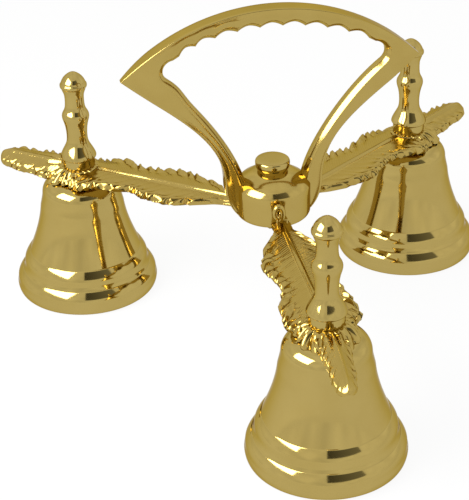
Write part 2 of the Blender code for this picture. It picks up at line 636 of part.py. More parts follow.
def clapper(station, bell_axis):
    """Oval link on the hanger's eye, and a rod with a ball on the link. Each hangs from its own pivot."""
    link_pivot = empty(station + "_link_pivot", bell_axis, (0, 0, LINK_PIVOT))
    rod_pivot = empty(station + "_rod_pivot", link_pivot, (0, 0, -LINK_LENGTH))
    top = EYE_WIRE + TOUCH_GAP + LINK_WIRE - LINK_RADIUS
    bottom = -LINK_LENGTH + LINK_RADIUS
    oval = arc((0, top), LINK_RADIUS, 0, 180, 7) + arc((0, bottom), LINK_RADIUS, 180, 360, 7)
    link = [(0, across, up) for across, up in oval]
    place(station + "_clapper_link", wire("clapper_link", link, [LINK_WIRE] * len(link), closed=True), link_pivot)

    eye_centre = LINK_WIRE + TOUCH_GAP + ROD_EYE_WIRE - ROD_EYE_RADIUS
    eye = [(x, 0, 2 * eye_centre - z) for x, _, z in bent_eye(eye_centre, ROD_EYE_RADIUS)]
    neck = eye[0][2] - ROD_RADIUS
    rod_end = -ROD_LENGTH + BALL_RADIUS - BALL_HOLE_DEPTH
    path = [(0, 0, rod_end), (0, 0, neck)] + eye
    radii = [ROD_RADIUS, ROD_RADIUS] + [ROD_EYE_WIRE] * len(eye)
    place(station + "_clapper_rod", wire("clapper_rod", path, radii), rod_pivot)

    hole = ROD_RADIUS + HOLE_CLEARANCE
    hole_rim = math.degrees(math.acos(hole / BALL_RADIUS))
    hole_bottom = BALL_RADIUS - BALL_HOLE_DEPTH - TOUCH_GAP
    outline = [(0, hole_bottom), (hole, hole_bottom)]
    outline += arc((0, 0), BALL_RADIUS, hole_rim, -90, 8)[:-1] + [(0, -BALL_RADIUS)]
    ball = [(radius, height - ROD_LENGTH) for radius, height in outline]
    place(station + "_clapper_ball", turned("clapper_ball", ball, 12), rod_pivot)


def build():
    for thing in list(bpy.data.objects):
        bpy.data.objects.remove(thing, do_unlink=True)
    hub_axis = empty("hub_axis", location=(0, HUB_BEHIND_ORIGIN, 0))
    handle_and_hub(hub_axis)
    hub_fixings(hub_axis)
    knob(hub_axis)
    for station, turn in STATIONS.items():
        arm_axis = empty(station + "_arm_axis", hub_axis, turn=turn)
        bell_axis = empty(station + "_bell_axis", arm_axis, (ARM_REACH, 0, 0))
        arm(station, arm_axis)
        place(station + "_bell", bell_mesh(), bell_axis)
        place(station + "_finial", finial_mesh(), bell_axis, (0, 0, FINIAL_BASE))
        hanger(station, bell_axis)
        clapper(station, bell_axis)


build()
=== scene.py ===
# A three-bell hand chime in polished brass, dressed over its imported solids: handle and hub, arms, bells,
# finials, fixings and clappers, in the order in which the chime is put together.

import math

import bpy
from mathutils import Matrix, Vector


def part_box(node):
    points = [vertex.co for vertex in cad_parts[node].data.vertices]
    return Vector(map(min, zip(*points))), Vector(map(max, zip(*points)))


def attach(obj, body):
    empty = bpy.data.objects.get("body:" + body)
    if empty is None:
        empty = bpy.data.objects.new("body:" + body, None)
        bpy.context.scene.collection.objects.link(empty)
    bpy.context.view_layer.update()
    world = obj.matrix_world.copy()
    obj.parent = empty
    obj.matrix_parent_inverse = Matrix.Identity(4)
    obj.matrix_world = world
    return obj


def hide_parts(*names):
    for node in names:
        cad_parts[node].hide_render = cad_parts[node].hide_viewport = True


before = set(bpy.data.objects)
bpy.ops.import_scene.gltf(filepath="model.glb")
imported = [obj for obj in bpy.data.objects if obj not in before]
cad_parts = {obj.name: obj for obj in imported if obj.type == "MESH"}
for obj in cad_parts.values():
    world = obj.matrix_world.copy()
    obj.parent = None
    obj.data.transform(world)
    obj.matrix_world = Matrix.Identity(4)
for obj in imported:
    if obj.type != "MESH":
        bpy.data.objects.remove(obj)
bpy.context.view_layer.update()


# The handle and its hub are one brass casting, polished all over. The hand loop is a flat bar with a crisp
# outer edge, an eased inner edge and finger notches under its arc. Its legs run down into the hub's side.
MM = 0.001
LOOP_THICKNESS = 7.8 * MM
LOOP_HALF_WIDTH = 63.2 * MM         # hub axis to each corner
LOOP_RISE = 76.8 * MM               # hub rim to the top of the arc
CORNER_RISE = 50.2 * MM
CORNER_THIN = 0.42                  # the bar's thickness at the loop's two corners, as a share
CORNER_REACH = 17 * MM              # how far from each corner the bar is thinned
BAND_WIDTH = 8.3 * MM
INNER_EDGE = 3.0 * MM               # size of the inner edge's easing
INNER_EASING = ((0.70, 0.0), (0.66, 0.008), (0.61, 0.04), (0.38, 0.30), (0.15, 0.57), (0.06, 0.71),
                (0.0, 0.90))        # along the bar's width and down from its face, as shares of the edge
OUTER_EDGE = 0.45 * MM
FACE_HOLLOW = 0.22 * MM             # polishing has dished the bar's faces by this much
GRIP_RADIUS = 97.0 * MM
NOTCH_COUNT = 9
NOTCH_PITCH = 9.5 * MM
NOTCH_DEPTH = 1.7 * MM
INNER_CORNER_INSET = 19.5 * MM
INNER_CORNER_RISE = 2.6 * MM
INNER_CORNER_ROUND = 4.9 * MM
LEG_SLOPE = 38                      # degrees from level at the corner
LEG_FOOT_PROUD = 4.9 * MM
LEG_FOOT_DROP = 2.2 * MM
LEG_FOOT_WIDTH = 8.9 * MM
HUB_RADIUS = 16.2 * MM
HUB_LOW = 57.7 * MM
HUB_RIM = 75.9 * MM
HUB_SHOULDER = 74.7 * MM            # level from which the chamfer's points are given
HUB_TOP = 78.4 * MM                 # crown of the dome, where the cap nut stands
HUB_DOME_END = 6.2 * MM             # the dome turns flat here, under the cap nut
HUB_CHAMFER = ((0.0, -3.2), (0.12, -2.75), (0.4, -2.2), (1.0, -1.3), (1.55, -0.55), (2.25, 0.15),
               (3.2, 0.75))         # in from the side and up from the shoulder, in mm
HUB_BOTTOM_ROUND = 2.6 * MM
CAVITY_RADIUS = 11.7 * MM
CAVITY_TOP = 73.4 * MM
CAVITY_ROUND = 0.2 * CAVITY_RADIUS
STUD_HOLE = 3.3 * MM
CAST_BRASS = (0.515, 0.378, 0.108)
CAST_BRASS_DEEP = (0.47, 0.332, 0.084)
GRAZING_TINT = (0.68, 0.58, 0.37)   # keeps the brass golden where it is seen edge on
TINT_PATCHES = 85.0                 # in a metre
POLISHING_MARKS = 1400.0            # in a metre
MARK_DEPTH = 0.02 * MM


def upright_axis(node):
    """(x, y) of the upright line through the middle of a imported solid."""
    low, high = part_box(node)
    return (low.x + high.x) / 2, (low.y + high.y) / 2


hub_y = upright_axis("centre_cap_nut")[1]


def polar(centre, radius, degrees):
    angle = math.radians(degrees)
    return centre[0] + radius * math.cos(angle), centre[1] + radius * math.sin(angle)


def bezier(controls, share):
    weights = ((1 - share) ** 3, 3 * share * (1 - share) ** 2, 3 * share ** 2 * (1 - share), share ** 3)
    return tuple(sum(w * p[axis] for w, p in zip(weights, controls)) for axis in (0, 1))


def arc(centre, radius, start, end, steps):
    return [polar(centre, radius, start + (end - start) * k / steps) for k in range(steps + 1)]


def bell_shaped(offset, width):
    """1 at no offset, and close to 0 from two widths away."""
    return math.exp(-(offset / width) ** 2)


def select_only(*pieces):
    bpy.ops.object.select_all(action="DESELECT")
    for piece in pieces:
        piece.select_set(True)
    bpy.context.view_layer.objects.active = pieces[0]


def turn_on_lathe(name, outline, axis, cuts):
    """Draws an outline of (radius, height) points by extrusion and spins it round an upright axis."""
    bpy.ops.mesh.primitive_plane_add(size=MM, location=(*axis, 0))
    piece = bpy.context.object
    piece.name = name
    bpy.ops.object.mode_set(mode="EDIT")
    bpy.ops.mesh.select_all(action="SELECT")
    bpy.ops.mesh.merge(type="CENTER")
    at = (0, 0)
    for k, (radius, height) in enumerate(outline):
        step = (radius - at[0], 0, height - at[1])
        if k == 0:
            bpy.ops.transform.translate(value=step)
        else:
            bpy.ops.mesh.extrude_region_move(TRANSFORM_OT_translate={"value": step})
        at = (radius, height)
    bpy.ops.mesh.select_all(action="SELECT")
    bpy.ops.mesh.spin(steps=cuts, angle=math.tau, center=(*axis, 0), axis=(0, 0, 1))
    bpy.ops.mesh.select_all(action="SELECT")
    bpy.ops.mesh.remove_doubles(threshold=0.002 * MM)
    bpy.ops.mesh.normals_make_consistent(inside=False)
    bpy.ops.object.mode_set(mode="OBJECT")
    bpy.ops.object.transform_apply()
    return piece


def draw_out(name, rows, columns, spot, groove_shade=None):
    """Lays a grid round a bar: each row is one closed section, and spot gives each point's place.

    recess gives, from 0 to 1, how much painted shade each point takes in the grooves and folds, where the
    brass is painted darker.
    """
    bpy.ops.mesh.primitive_grid_add(x_subdivisions=columns, y_subdivisions=rows, size=1)
    piece = bpy.context.object
    piece.name = name
    depth = piece.data.attributes.new("groove_shade", "FLOAT", "POINT") if groove_shade else None
    for vert in piece.data.vertices:
        along = round((vert.co.y + 0.5) * rows)
        around = round((vert.co.x + 0.5) * columns)
        vert.co = spot(along, around % columns)
        if groove_shade:
            depth.data[vert.index].value = groove_shade(along, around % columns)
    bpy.ops.object.mode_set(mode="EDIT")
    bpy.ops.mesh.select_all(action="SELECT")
    bpy.ops.mesh.remove_doubles(threshold=0.001 * MM)
    bpy.ops.mesh.select_all(action="DESELECT")
    bpy.ops.mesh.select_non_manifold(extend=False, use_wire=False, use_multi_face=False,
                                     use_non_contiguous=False, use_verts=False)
    bpy.ops.mesh.fill_holes(sides=0)
    bpy.ops.mesh.select_all(action="SELECT")
    bpy.ops.mesh.normals_make_consistent(inside=False)
    bpy.ops.object.mode_set(mode="OBJECT")
    return piece


def smooth_over(piece, degrees):
    select_only(piece)
    bpy.ops.object.shade_smooth_by_angle(angle=math.radians(degrees))


def combine(piece, tool, operation):
    """Joins a tool's shape to a piece or cuts it out of it, and throws the tool away."""
    select_only(piece)
    step = piece.modifiers.new("combine", "BOOLEAN")
    step.operation = operation
    step.object = tool
    step.solver = "EXACT"
    bpy.ops.object.modifier_apply(modifier=step.name)
    bpy.data.objects.remove(tool)


def add_node(tree, kind, **settings):
    """Adds a shader node and sets its sockets and options by name."""
    node = tree.nodes.new("ShaderNode" + kind)
    for name, value in settings.items():
        if name in node.inputs:
            node.inputs[name].default_value = value
        else:
            setattr(node, name, value)
    return node


def rescaled(tree, value, low, high, to_low, to_high, ramp="LINEAR"):
    """A socket whose value runs from to_low to to_high while the given one runs from low to high."""
    node = add_node(tree, "MapRange", interpolation_type=ramp)
    for socket, limit in (("From Min", low), ("From Max", high), ("To Min", to_low), ("To Max", to_high)):
        node.inputs[socket].default_value = limit
    tree.links.new(value, node.inputs["Value"])
    return node.outputs["Result"]


def polished_brass(name, colour, deep_colour, roughness):
    """Brass whose tint drifts over a few millimetres, with fine polishing marks in its gloss and surface."""
    material = bpy.data.materials.new(name)
    material.use_nodes = True
    tree = material.node_tree
    link = tree.links.new
    shader = tree.nodes["Principled BSDF"]
    shader.inputs["Metallic"].default_value = 1.0
    shader.inputs["Specular Tint"].default_value = (*GRAZING_TINT, 1)
    place = add_node(tree, "TexCoord")
    drift = add_node(tree, "TexNoise", Scale=TINT_PATCHES, Detail=4.0, Roughness=0.6)
    tint = add_node(tree, "Mix", data_type="RGBA", A=(*colour, 1), B=(*deep_colour, 1))
    link(place.outputs["Object"], drift.inputs["Vector"])
    link(rescaled(tree, drift.outputs["Fac"], 0.35, 0.75, 0.0, 0.55), tint.inputs["Factor"])
    link(tint.outputs["Result"], shader.inputs["Base Color"])
    marks = add_node(tree, "TexNoise", Scale=POLISHING_MARKS, Detail=3.0, Roughness=0.7)
    link(place.outputs["Object"], marks.inputs["Vector"])
    link(rescaled(tree, marks.outputs["Fac"], 0.3, 0.7, *roughness), shader.inputs["Roughness"])
    bump = add_node(tree, "Bump", Strength=0.12, Distance=MARK_DEPTH)
    link(marks.outputs["Fac"], bump.inputs["Height"])
    link(bump.outputs["Normal"], shader.inputs["Normal"])
    return material


def finish_piece(piece, material, body, slot, *nodes):
    """Gives a finished piece its material, hangs it on its body and hides the solids it stands for."""
    piece.data.materials.clear()
    piece.data.materials.append(material)
    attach(piece, body)
    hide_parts(*nodes)


def loop_edges():
    """(outer, inner) pairs of (x, z) points from the right leg's end in the hub to the top of the arc."""
    corner = (LOOP_HALF_WIDTH, HUB_RIM + CORNER_RISE)
    sagitta = LOOP_RISE - CORNER_RISE
    outer_radius = (LOOP_HALF_WIDTH ** 2 + sagitta ** 2) / (2 * sagitta)
    outer_centre = (0, HUB_RIM + LOOP_RISE - outer_radius)
    corner_angle = math.degrees(math.asin(LOOP_HALF_WIDTH / outer_radius))
    grip_centre = (0, HUB_RIM + LOOP_RISE - BAND_WIDTH - GRIP_RADIUS)
    pitch_angle = math.degrees(NOTCH_PITCH / GRIP_RADIUS)
    first_cusp = NOTCH_COUNT * pitch_angle / 2
    outer_share = GRIP_RADIUS / outer_radius
    round_centre = (corner[0] - INNER_CORNER_INSET, corner[1] + INNER_CORNER_RISE)
    round_start, round_end = -50, 85        # degrees, from the leg to the first notch
    foot_level = HUB_RIM - LEG_FOOT_DROP
    foot_outer = (HUB_RADIUS + LEG_FOOT_PROUD, foot_level)
    foot_inner = (foot_outer[0] - LEG_FOOT_WIDTH, foot_level)
    leg_length = math.dist(corner, foot_outer)
    pairs = []

    # The leg's end leans into the hub's wall.
    side = foot_level - HUB_LOW
    wall_middle = (CAVITY_RADIUS + HUB_RADIUS) / 2
    sunk = (foot_outer, (foot_outer[0], foot_level - 0.4 * side),
            (HUB_RADIUS + 0.4 * LEG_FOOT_PROUD, HUB_LOW + 0.2 * side), (wall_middle, HUB_LOW + 0.03 * side))
    sunk_inner = wall_middle - 0.4 * (HUB_RADIUS - CAVITY_RADIUS)
    sunk_steps = 10
    for k in range(sunk_steps):
        outer = bezier(sunk, 1 - k / sunk_steps)
        pairs.append((outer, (sunk_inner, outer[1])))

    # The leg stands upright at its foot and bends to its slope at the corner.
    outer_slope, inner_slope = 0.49 * leg_length, 0.32 * leg_length
    outer_rise, inner_rise = 0.32 * leg_length, 0.19 * leg_length
    inner_lean = 0.22 * LEG_FOOT_WIDTH
    start = polar(round_centre, INNER_CORNER_ROUND, round_start)
    outer_leg = (corner, polar(corner, outer_slope, 180 + LEG_SLOPE),
                 (foot_outer[0], foot_level + outer_rise), foot_outer)
    inner_leg = (start, polar(start, inner_slope, 180 + LEG_SLOPE),
                 (foot_inner[0] + inner_lean, foot_level + inner_rise), foot_inner)
    corner_share = 0.12             # of the outer edge's curve, which faces the inner corner's round
    leg_steps = 40
    for k in range(leg_steps):
        share = 1 - k / leg_steps
        pairs.append((bezier(outer_leg, corner_share + (1 - corner_share) * share), bezier(inner_leg, share)))

    # Round the corner the outer edge comes to a point and the inner edge turns in a round.
    fan_below, fan_above = 5, 13
    fan = [bezier(outer_leg, corner_share * (1 - k / fan_below)) for k in range(fan_below)] + [corner]
    arc_start = 90 - corner_angle
    arc_end = 90 - first_cusp * outer_share
    for k in range(1, fan_above):
        fan.append(polar(outer_centre, outer_radius, arc_start + (arc_end - arc_start) * k / fan_above))
    for k, outer in enumerate(fan):
        turn = round_start + (round_end - round_start) * k / (len(fan) - 1)
        pairs.append((outer, polar(round_centre, INNER_CORNER_ROUND, turn)))

    # Under the arc each notch is a shallow round between two cusps.
    cuts = 12
    for k in range(NOTCH_COUNT * cuts // 2 + 1):
        off_top = first_cusp - k * pitch_angle / cuts
        across = 2 * (k % cuts) / cuts - 1
        notch = NOTCH_DEPTH * (1 - abs(across) ** 1.7)
        pairs.append((polar(outer_centre, outer_radius, 90 - off_top * outer_share),
                      polar(grip_centre, GRIP_RADIUS + notch, 90 - off_top)))
    return pairs


def bar_outline(width):
    """The bar's section as (share from inner to outer edge, across): eased inside, crisp outside."""
    half = LOOP_THICKNESS / 2
    inner = min(INNER_EDGE, 0.5 * width)
    outer = min(OUTER_EDGE, 0.2 * width)
    side = [(width, 0.55 * (half - outer)), (width, half - outer)]
    side += arc((width - outer, half - outer), outer, 30, 90, 2)
    for share in (0.12, 0.3, 0.5, 0.7, 0.88):
        along = width - outer - (width - outer - inner) * share
        side.append((along, half - FACE_HOLLOW * math.sin(math.pi * share)))
    side += [(inner * along, half - inner * across) for along, across in INNER_EASING]
    side.append((0, 0.3 * (half - 0.62 * inner)))
    front = [(along / width, -across) for along, across in side]
    return front + [(share, -across) for share, across in reversed(front)]


LEFT_CORNER = (-LOOP_HALF_WIDTH + INNER_CORNER_INSET, HUB_RIM + CORNER_RISE + INNER_CORNER_RISE)
LEFT_CORNER_FULLER = 3.0 * MM       # the opening's left corner was filed less far out than the right one,
LEFT_CORNER_FADE = 9.5 * MM         # and evens out over this distance


def mirrored(outer, inner):
    """The left half's pair of points for a pair of the right half."""
    off_round = math.dist((-inner[0], inner[1]), LEFT_CORNER) - INNER_CORNER_ROUND
    fuller = LEFT_CORNER_FULLER * bell_shaped(off_round, LEFT_CORNER_FADE)
    return (-outer[0], outer[1]), (fuller - inner[0], inner[1])


right_half = loop_edges()
loop_pairs = right_half + [mirrored(outer, inner) for outer, inner in reversed(right_half[:-1])]
loop_sections = [bar_outline(math.dist(outer, inner)) for outer, inner in loop_pairs]


def loop_spot(along, around):
    outer, inner = loop_pairs[along]
    share, across = loop_sections[along][around]
    x, z = (near + (far - near) * share for near, far in zip(inner, outer))
    from_corner = math.dist((abs(x), z), (LOOP_HALF_WIDTH, HUB_RIM + CORNER_RISE))
    across *= 1 - (1 - CORNER_THIN) * max(0, 1 - from_corner / CORNER_REACH) ** 1.6
    return Vector((x, hub_y + across, z))


hand_loop = draw_out("hand_loop", len(loop_pairs) - 1, len(loop_sections[0]), loop_spot)

hub_outline = [(CAVITY_RADIUS, HUB_LOW)]
hub_outline += arc((HUB_RADIUS - HUB_BOTTOM_ROUND, HUB_LOW + HUB_BOTTOM_ROUND), HUB_BOTTOM_ROUND, -90, 0, 12)
hub_outline += [(HUB_RADIUS, HUB_LOW + (HUB_SHOULDER - HUB_LOW) * share) for share in (0.3, 0.5, 0.65)]
hub_outline += [(HUB_RADIUS - inset * MM, HUB_SHOULDER + rise * MM) for inset, rise in HUB_CHAMFER]
dome_start = hub_outline[-1]
for share in (0.12, 0.25, 0.37, 0.5, 0.62, 0.75, 0.87, 1.0):
    dome_rise = (HUB_TOP - dome_start[1]) * math.sin(math.pi / 2 * share)
    hub_outline.append((dome_start[0] + (HUB_DOME_END - dome_start[0]) * share, dome_start[1] + dome_rise))
cavity_flat = CAVITY_RADIUS - CAVITY_ROUND
hub_outline += [(STUD_HOLE, HUB_TOP), (STUD_HOLE, CAVITY_TOP), (cavity_flat, CAVITY_TOP)]
hub_outline += arc((cavity_flat, CAVITY_TOP - CAVITY_ROUND), CAVITY_ROUND, 80, 0, 6)
hub_outline.append(hub_outline[0])
handle_and_hub = turn_on_lathe("handle_and_hub_cast", hub_outline, (0, hub_y), cuts=112)
combine(handle_and_hub, hand_loop, "UNION")
smooth_over(handle_and_hub, degrees=38)
cast_brass = polished_brass("cast_brass", CAST_BRASS, CAST_BRASS_DEEP, roughness=(0.07, 0.15))
finish_piece(handle_and_hub, cast_brass, "frame", "cast_brass", "handle_and_hub")


# The cap nut on top of the hub is turned from bar: a narrow foot, a side that swells upward and a rounded
# flat top. It screws down on the stud and holds the hub to its base plate.
NUT_FOOT_RADIUS = 6.3 * MM
NUT_HEAD_RADIUS = 7.5 * MM
NUT_EDGE = 1.4 * MM
NUT_SUNK = 0.3 * MM                 # how far its foot stands in the hub's dome
NUT_SWELL = 0.66                    # share of its height over which the side swells
NUT_BORE = 0.68                     # share of its height that the stud's hole reaches
TURNED_BRASS = (0.525, 0.394, 0.124)
TURNED_BRASS_DEEP = (0.485, 0.356, 0.102)


def lathe_lines(material, axis, spacing):
    """Adds the faint rings that turning and buffing leave round an upright axis."""
    tree = material.node_tree
    link = tree.links.new
    marks_bump = tree.nodes["Bump"]
    place = add_node(tree, "TexCoord")
    centred = add_node(tree, "Mapping", Location=(-axis[0], -axis[1], 0))
    split = add_node(tree, "SeparateXYZ")
    flat = add_node(tree, "CombineXYZ")
    reach = add_node(tree, "VectorMath", operation="LENGTH")
    ring = add_node(tree, "CombineXYZ")
    rings = add_node(tree, "TexNoise", Scale=1 / spacing, Detail=2.0, Roughness=0.5)
    fine = add_node(tree, "Bump", Strength=0.10, Distance=MARK_DEPTH)
    link(place.outputs["Object"], centred.inputs["Vector"])
    link(centred.outputs["Vector"], split.inputs["Vector"])
    link(split.outputs["X"], flat.inputs["X"])
    link(split.outputs["Y"], flat.inputs["Y"])
    link(flat.outputs["Vector"], reach.inputs[0])
    link(reach.outputs["Value"], ring.inputs["X"])
    link(split.outputs["Z"], ring.inputs["Z"])
    link(ring.outputs["Vector"], rings.inputs["Vector"])
    link(rings.outputs["Fac"], fine.inputs["Height"])
    link(fine.outputs["Normal"], marks_bump.inputs["Normal"])


def turn_bright(node, outline, axis, cuts, degrees, spacing, roughness=(0.05, 0.11)):
    """Turns and buffs a piece with lathe lines of its own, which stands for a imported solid."""
    piece = turn_on_lathe(node + "_turned", outline, axis, cuts)
    smooth_over(piece, degrees)
    brass = polished_brass(node + "_brass", TURNED_BRASS, TURNED_BRASS_DEEP, roughness)
    lathe_lines(brass, axis, spacing)
    finish_piece(piece, brass, "frame", "turned_brass", node)


nut_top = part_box("centre_cap_nut")[1].z
nut_height = nut_top - HUB_TOP
bore_top = HUB_TOP + NUT_BORE * nut_height
nut_outline = [(0, bore_top), (STUD_HOLE, bore_top), (STUD_HOLE, HUB_TOP - NUT_SUNK),
               (NUT_FOOT_RADIUS, HUB_TOP - NUT_SUNK)]
for share in (0.1, 0.3, 0.5, 0.7, 0.85, 1.0):
    swell = (NUT_HEAD_RADIUS - NUT_FOOT_RADIUS) * math.sin(math.pi / 2 * share)
    nut_outline.append((NUT_FOOT_RADIUS + swell, HUB_TOP + NUT_SWELL * nut_height * share))
nut_outline += arc((NUT_HEAD_RADIUS - NUT_EDGE, nut_top - NUT_EDGE), NUT_EDGE, 8, 80, 8)
nut_outline += [(0.5 * NUT_HEAD_RADIUS, nut_top), (0, nut_top)]
turn_bright("centre_cap_nut", nut_outline, (0, hub_y), cuts=72, degrees=38, spacing=0.25 * MM,
            roughness=(0.06, 0.13))


# Each arm is one cast feather: a raised rib, swept barbs with frilled ends, a curled bud against the hub and
# folded petals round the bell's seat. One is modelled along +X from the hub's axis and copied to its places.
TOUCH_GAP = 0.3 * MM                # between two pieces that rest on each other, as in the solids
BELL_HEIGHT = 55.2 * MM
SHOULDER_RADIUS = 17.9 * MM
SHOULDER_ROUND = 6.8 * MM
CROWN_RADIUS = SHOULDER_RADIUS - SHOULDER_ROUND     # the bell's crown is flat up to here
ARM_ROOT = 16.5 * MM
ARM_REACH = 97.5 * MM               # hub axis to bell axis
ARM_TIP = 139.6 * MM
ARM_LEVEL = BELL_HEIGHT + TOUCH_GAP
SEAT_TOP = 60.9 * MM
SEAT_RADIUS = 8.4 * MM
SEAT_EDGE = 0.5 * MM
SHANK_HOLE = 2.8 * MM
RIB_ROW = 61.2 * MM                 # feather's top beside its rib
# Out along the arm and half the feather's width there, in mm.
HALF_WIDTHS = ((16.5, 4.4), (20, 4.2), (26, 5.8), (30, 8.2), (36, 11.8), (42, 14.3), (48, 15.3), (54, 15.3),
               (58, 14.4), (62.5, 12.3), (67, 12.0), (73, 13.0), (80, 14.8), (87, 16.0), (92, 15.4),
               (97, 12.8), (103, 10.4), (110, 9.4), (116, 8.9), (122, 8.2), (130, 7.4), (135, 6.6),
               (139.6, 5.8))
GROOVE_SHADE_BRASS = (0.40, 0.26, 0.055)  # painted shade at the bottoms of the grooves, which the buff doesn't reach either
# how far the painted shade darkens the brass at most, as a share
GROOVE_SHADE_SHARE = 0.45


def between(keys, at):
    """A smooth curve through keys of (place, value)."""
    if at <= keys[0][0]:
        return keys[0][1]
    for k in range(len(keys) - 1):
        if at <= keys[k + 1][0]:
            before = keys[max(k - 1, 0)]
            start, end = keys[k], keys[k + 1]
            after = keys[min(k + 2, len(keys) - 1)]
            share = (at - start[0]) / (end[0] - start[0])
            rise_in = (end[1] - before[1]) / (end[0] - before[0]) * (end[0] - start[0])
            rise_out = (after[1] - start[1]) / (after[0] - start[0]) * (end[0] - start[0])
            square, cube = share ** 2, share ** 3
            return (start[1] * (2 * cube - 3 * square + 1) + rise_in * (cube - 2 * square + share)
                    + end[1] * (3 * square - 2 * cube) + rise_out * (cube - square))
    return keys[-1][1]


def eased(low, high, at):
    """0 up to low and 1 from high on, with a soft ramp between."""
    share = min(max((at - low) / (high - low), 0), 1)
    return share * share * (3 - 2 * share)


PETAL_FOLDS = 18                    # round the collar


def petal_ridge(angle):
    """1 on the ridge of a petal and 0 in the fold beside it, round the collar."""
    return abs(math.cos(PETAL_FOLDS * angle / 2 + 0.25 * math.sin(5 * angle)))


def on_crown(level, radius, clearance):
    """Lifts a point of the arm that would lie in the bell's crown so that it rests on it."""
    past_flat = max(0, radius - CROWN_RADIUS)
    if past_flat >= SHOULDER_ROUND:
        return level
    crown = BELL_HEIGHT - SHOULDER_ROUND + math.sqrt(SHOULDER_ROUND ** 2 - past_flat ** 2)
    return max(level, crown + clearance)


# Stretches along the arm: the barbs begin, the feather comes over the bell, the petals begin, the tongue past
# the bell begins, and the frilled edge ends.
ROOT_STRETCH = (17 * MM, 27 * MM)
BELL_STRETCH = (80 * MM, 92 * MM)
PETAL_STRETCH = (ARM_REACH - 9 * MM, ARM_REACH)
TONGUE_STRETCH = (103 * MM, 113 * MM)
FRILL_STRETCH = (ARM_TIP, ARM_TIP - 9 * MM)
TIP_ROUND = 6.5 * MM
# Outline: how far folds and sway move the edge in and out, and how their pitch strays as hand work does.
EDGE_LOBE = 1.15 * MM
EDGE_SWAY = 0.9 * MM
EDGE_SPREAD = 0.6 * MM
FOLD_PITCH = 5.3 * MM               # folds that end in the edge's round lobes
SWAY_PITCH = 14.5 * MM              # slow wave of the outline
SIDE_SHIFT = 0.31                   # share of a pitch by which one side's folds lie behind the other's
LONG_STRAY, LONG_STRAY_PITCH = 0.22, 23 * MM        # share of the folds' pitch, and over what length
SHORT_STRAY, SHORT_STRAY_PITCH = 0.12, 9.1 * MM
# Section: how far the feather falls towards its edges, and how thick it is.
EDGE_FALL, TONGUE_FALL = 0.5 * MM, 1.8 * MM
BELL_DROOP = 2.6 * MM
FEATHER_THICKNESS, TONGUE_THICKER, EDGE_THINNER = 3.2 * MM, 0.8 * MM, 0.7 * MM
FEATHER_MIDDLE, TONGUE_MIDDLE = 1.5 * MM, 0.7 * MM     # below the rib's row, where the tip closes
LEAST_BODY, LEAST_GROOVE = 1.6 * MM, 0.9 * MM          # brass left over the bell's crown, plain and grooved
# Relief: rib, creases between the folds, fine barbs, curled lobes and the petals round the collar.
RIB_HEIGHT, TONGUE_RIB_LOWER = 1.1 * MM, 0.45 * MM
RIB_HALF, TONGUE_RIB_WIDER = 0.85 * MM, 0.35 * MM
CREASE_DEPTH, EDGE_CREASE_DEPTH = 0.05 * MM, 0.90 * MM
UNDERSIDE_CREASE = 0.3 * MM
BARB_DEPTH = 0.16 * MM
BARB_PITCH = 1.4 * MM
BARB_SWEEP = 0.80                   # how far a barb runs outward along the feather for each step across
BARB_BEND = 12                      # per metre, by which its sweep grows across the feather
LOBE_CURL = 1.0 * MM
EDGE_DROP = 1.35 * MM
PETAL_HEIGHT = 1.3 * MM
PETALS_BEGIN = (8.4 * MM, 10.5 * MM)    # out from the bell's axis
PETALS_END = (19 * MM, 13 * MM)
SEAT_BLEND = (SEAT_RADIUS - 0.6 * MM, SEAT_RADIUS + 1.4 * MM)
SEAT_COVER = 0.3 * MM               # the turned seat's top over the feather
BARB_SHADE, CREASE_SHADE = 4.2 / MM, 1.2 / MM       # how fast the painted shade in barbs and creases grows with their depth
FEATHER_ROWS = 420
TOP_COLUMNS = 76
BELOW_COLUMNS = 20
groove_shading = {}                  # share of the full painted shade at each point, noted by feather_spot


def rib_end(reach, across):
    """Where on the rib the barb through a point begins."""
    return reach - BARB_SWEEP * across - BARB_BEND * across ** 2


def fold_crest(place, reach, side):
    """1 on the crest of a fold and 0 in the crease beside it."""
    stray = (LONG_STRAY * math.sin(math.tau * (reach / LONG_STRAY_PITCH + side))
             + SHORT_STRAY * math.sin(math.tau * reach / SHORT_STRAY_PITCH))
    return abs(math.sin(math.pi * (place / FOLD_PITCH + side + stray)))


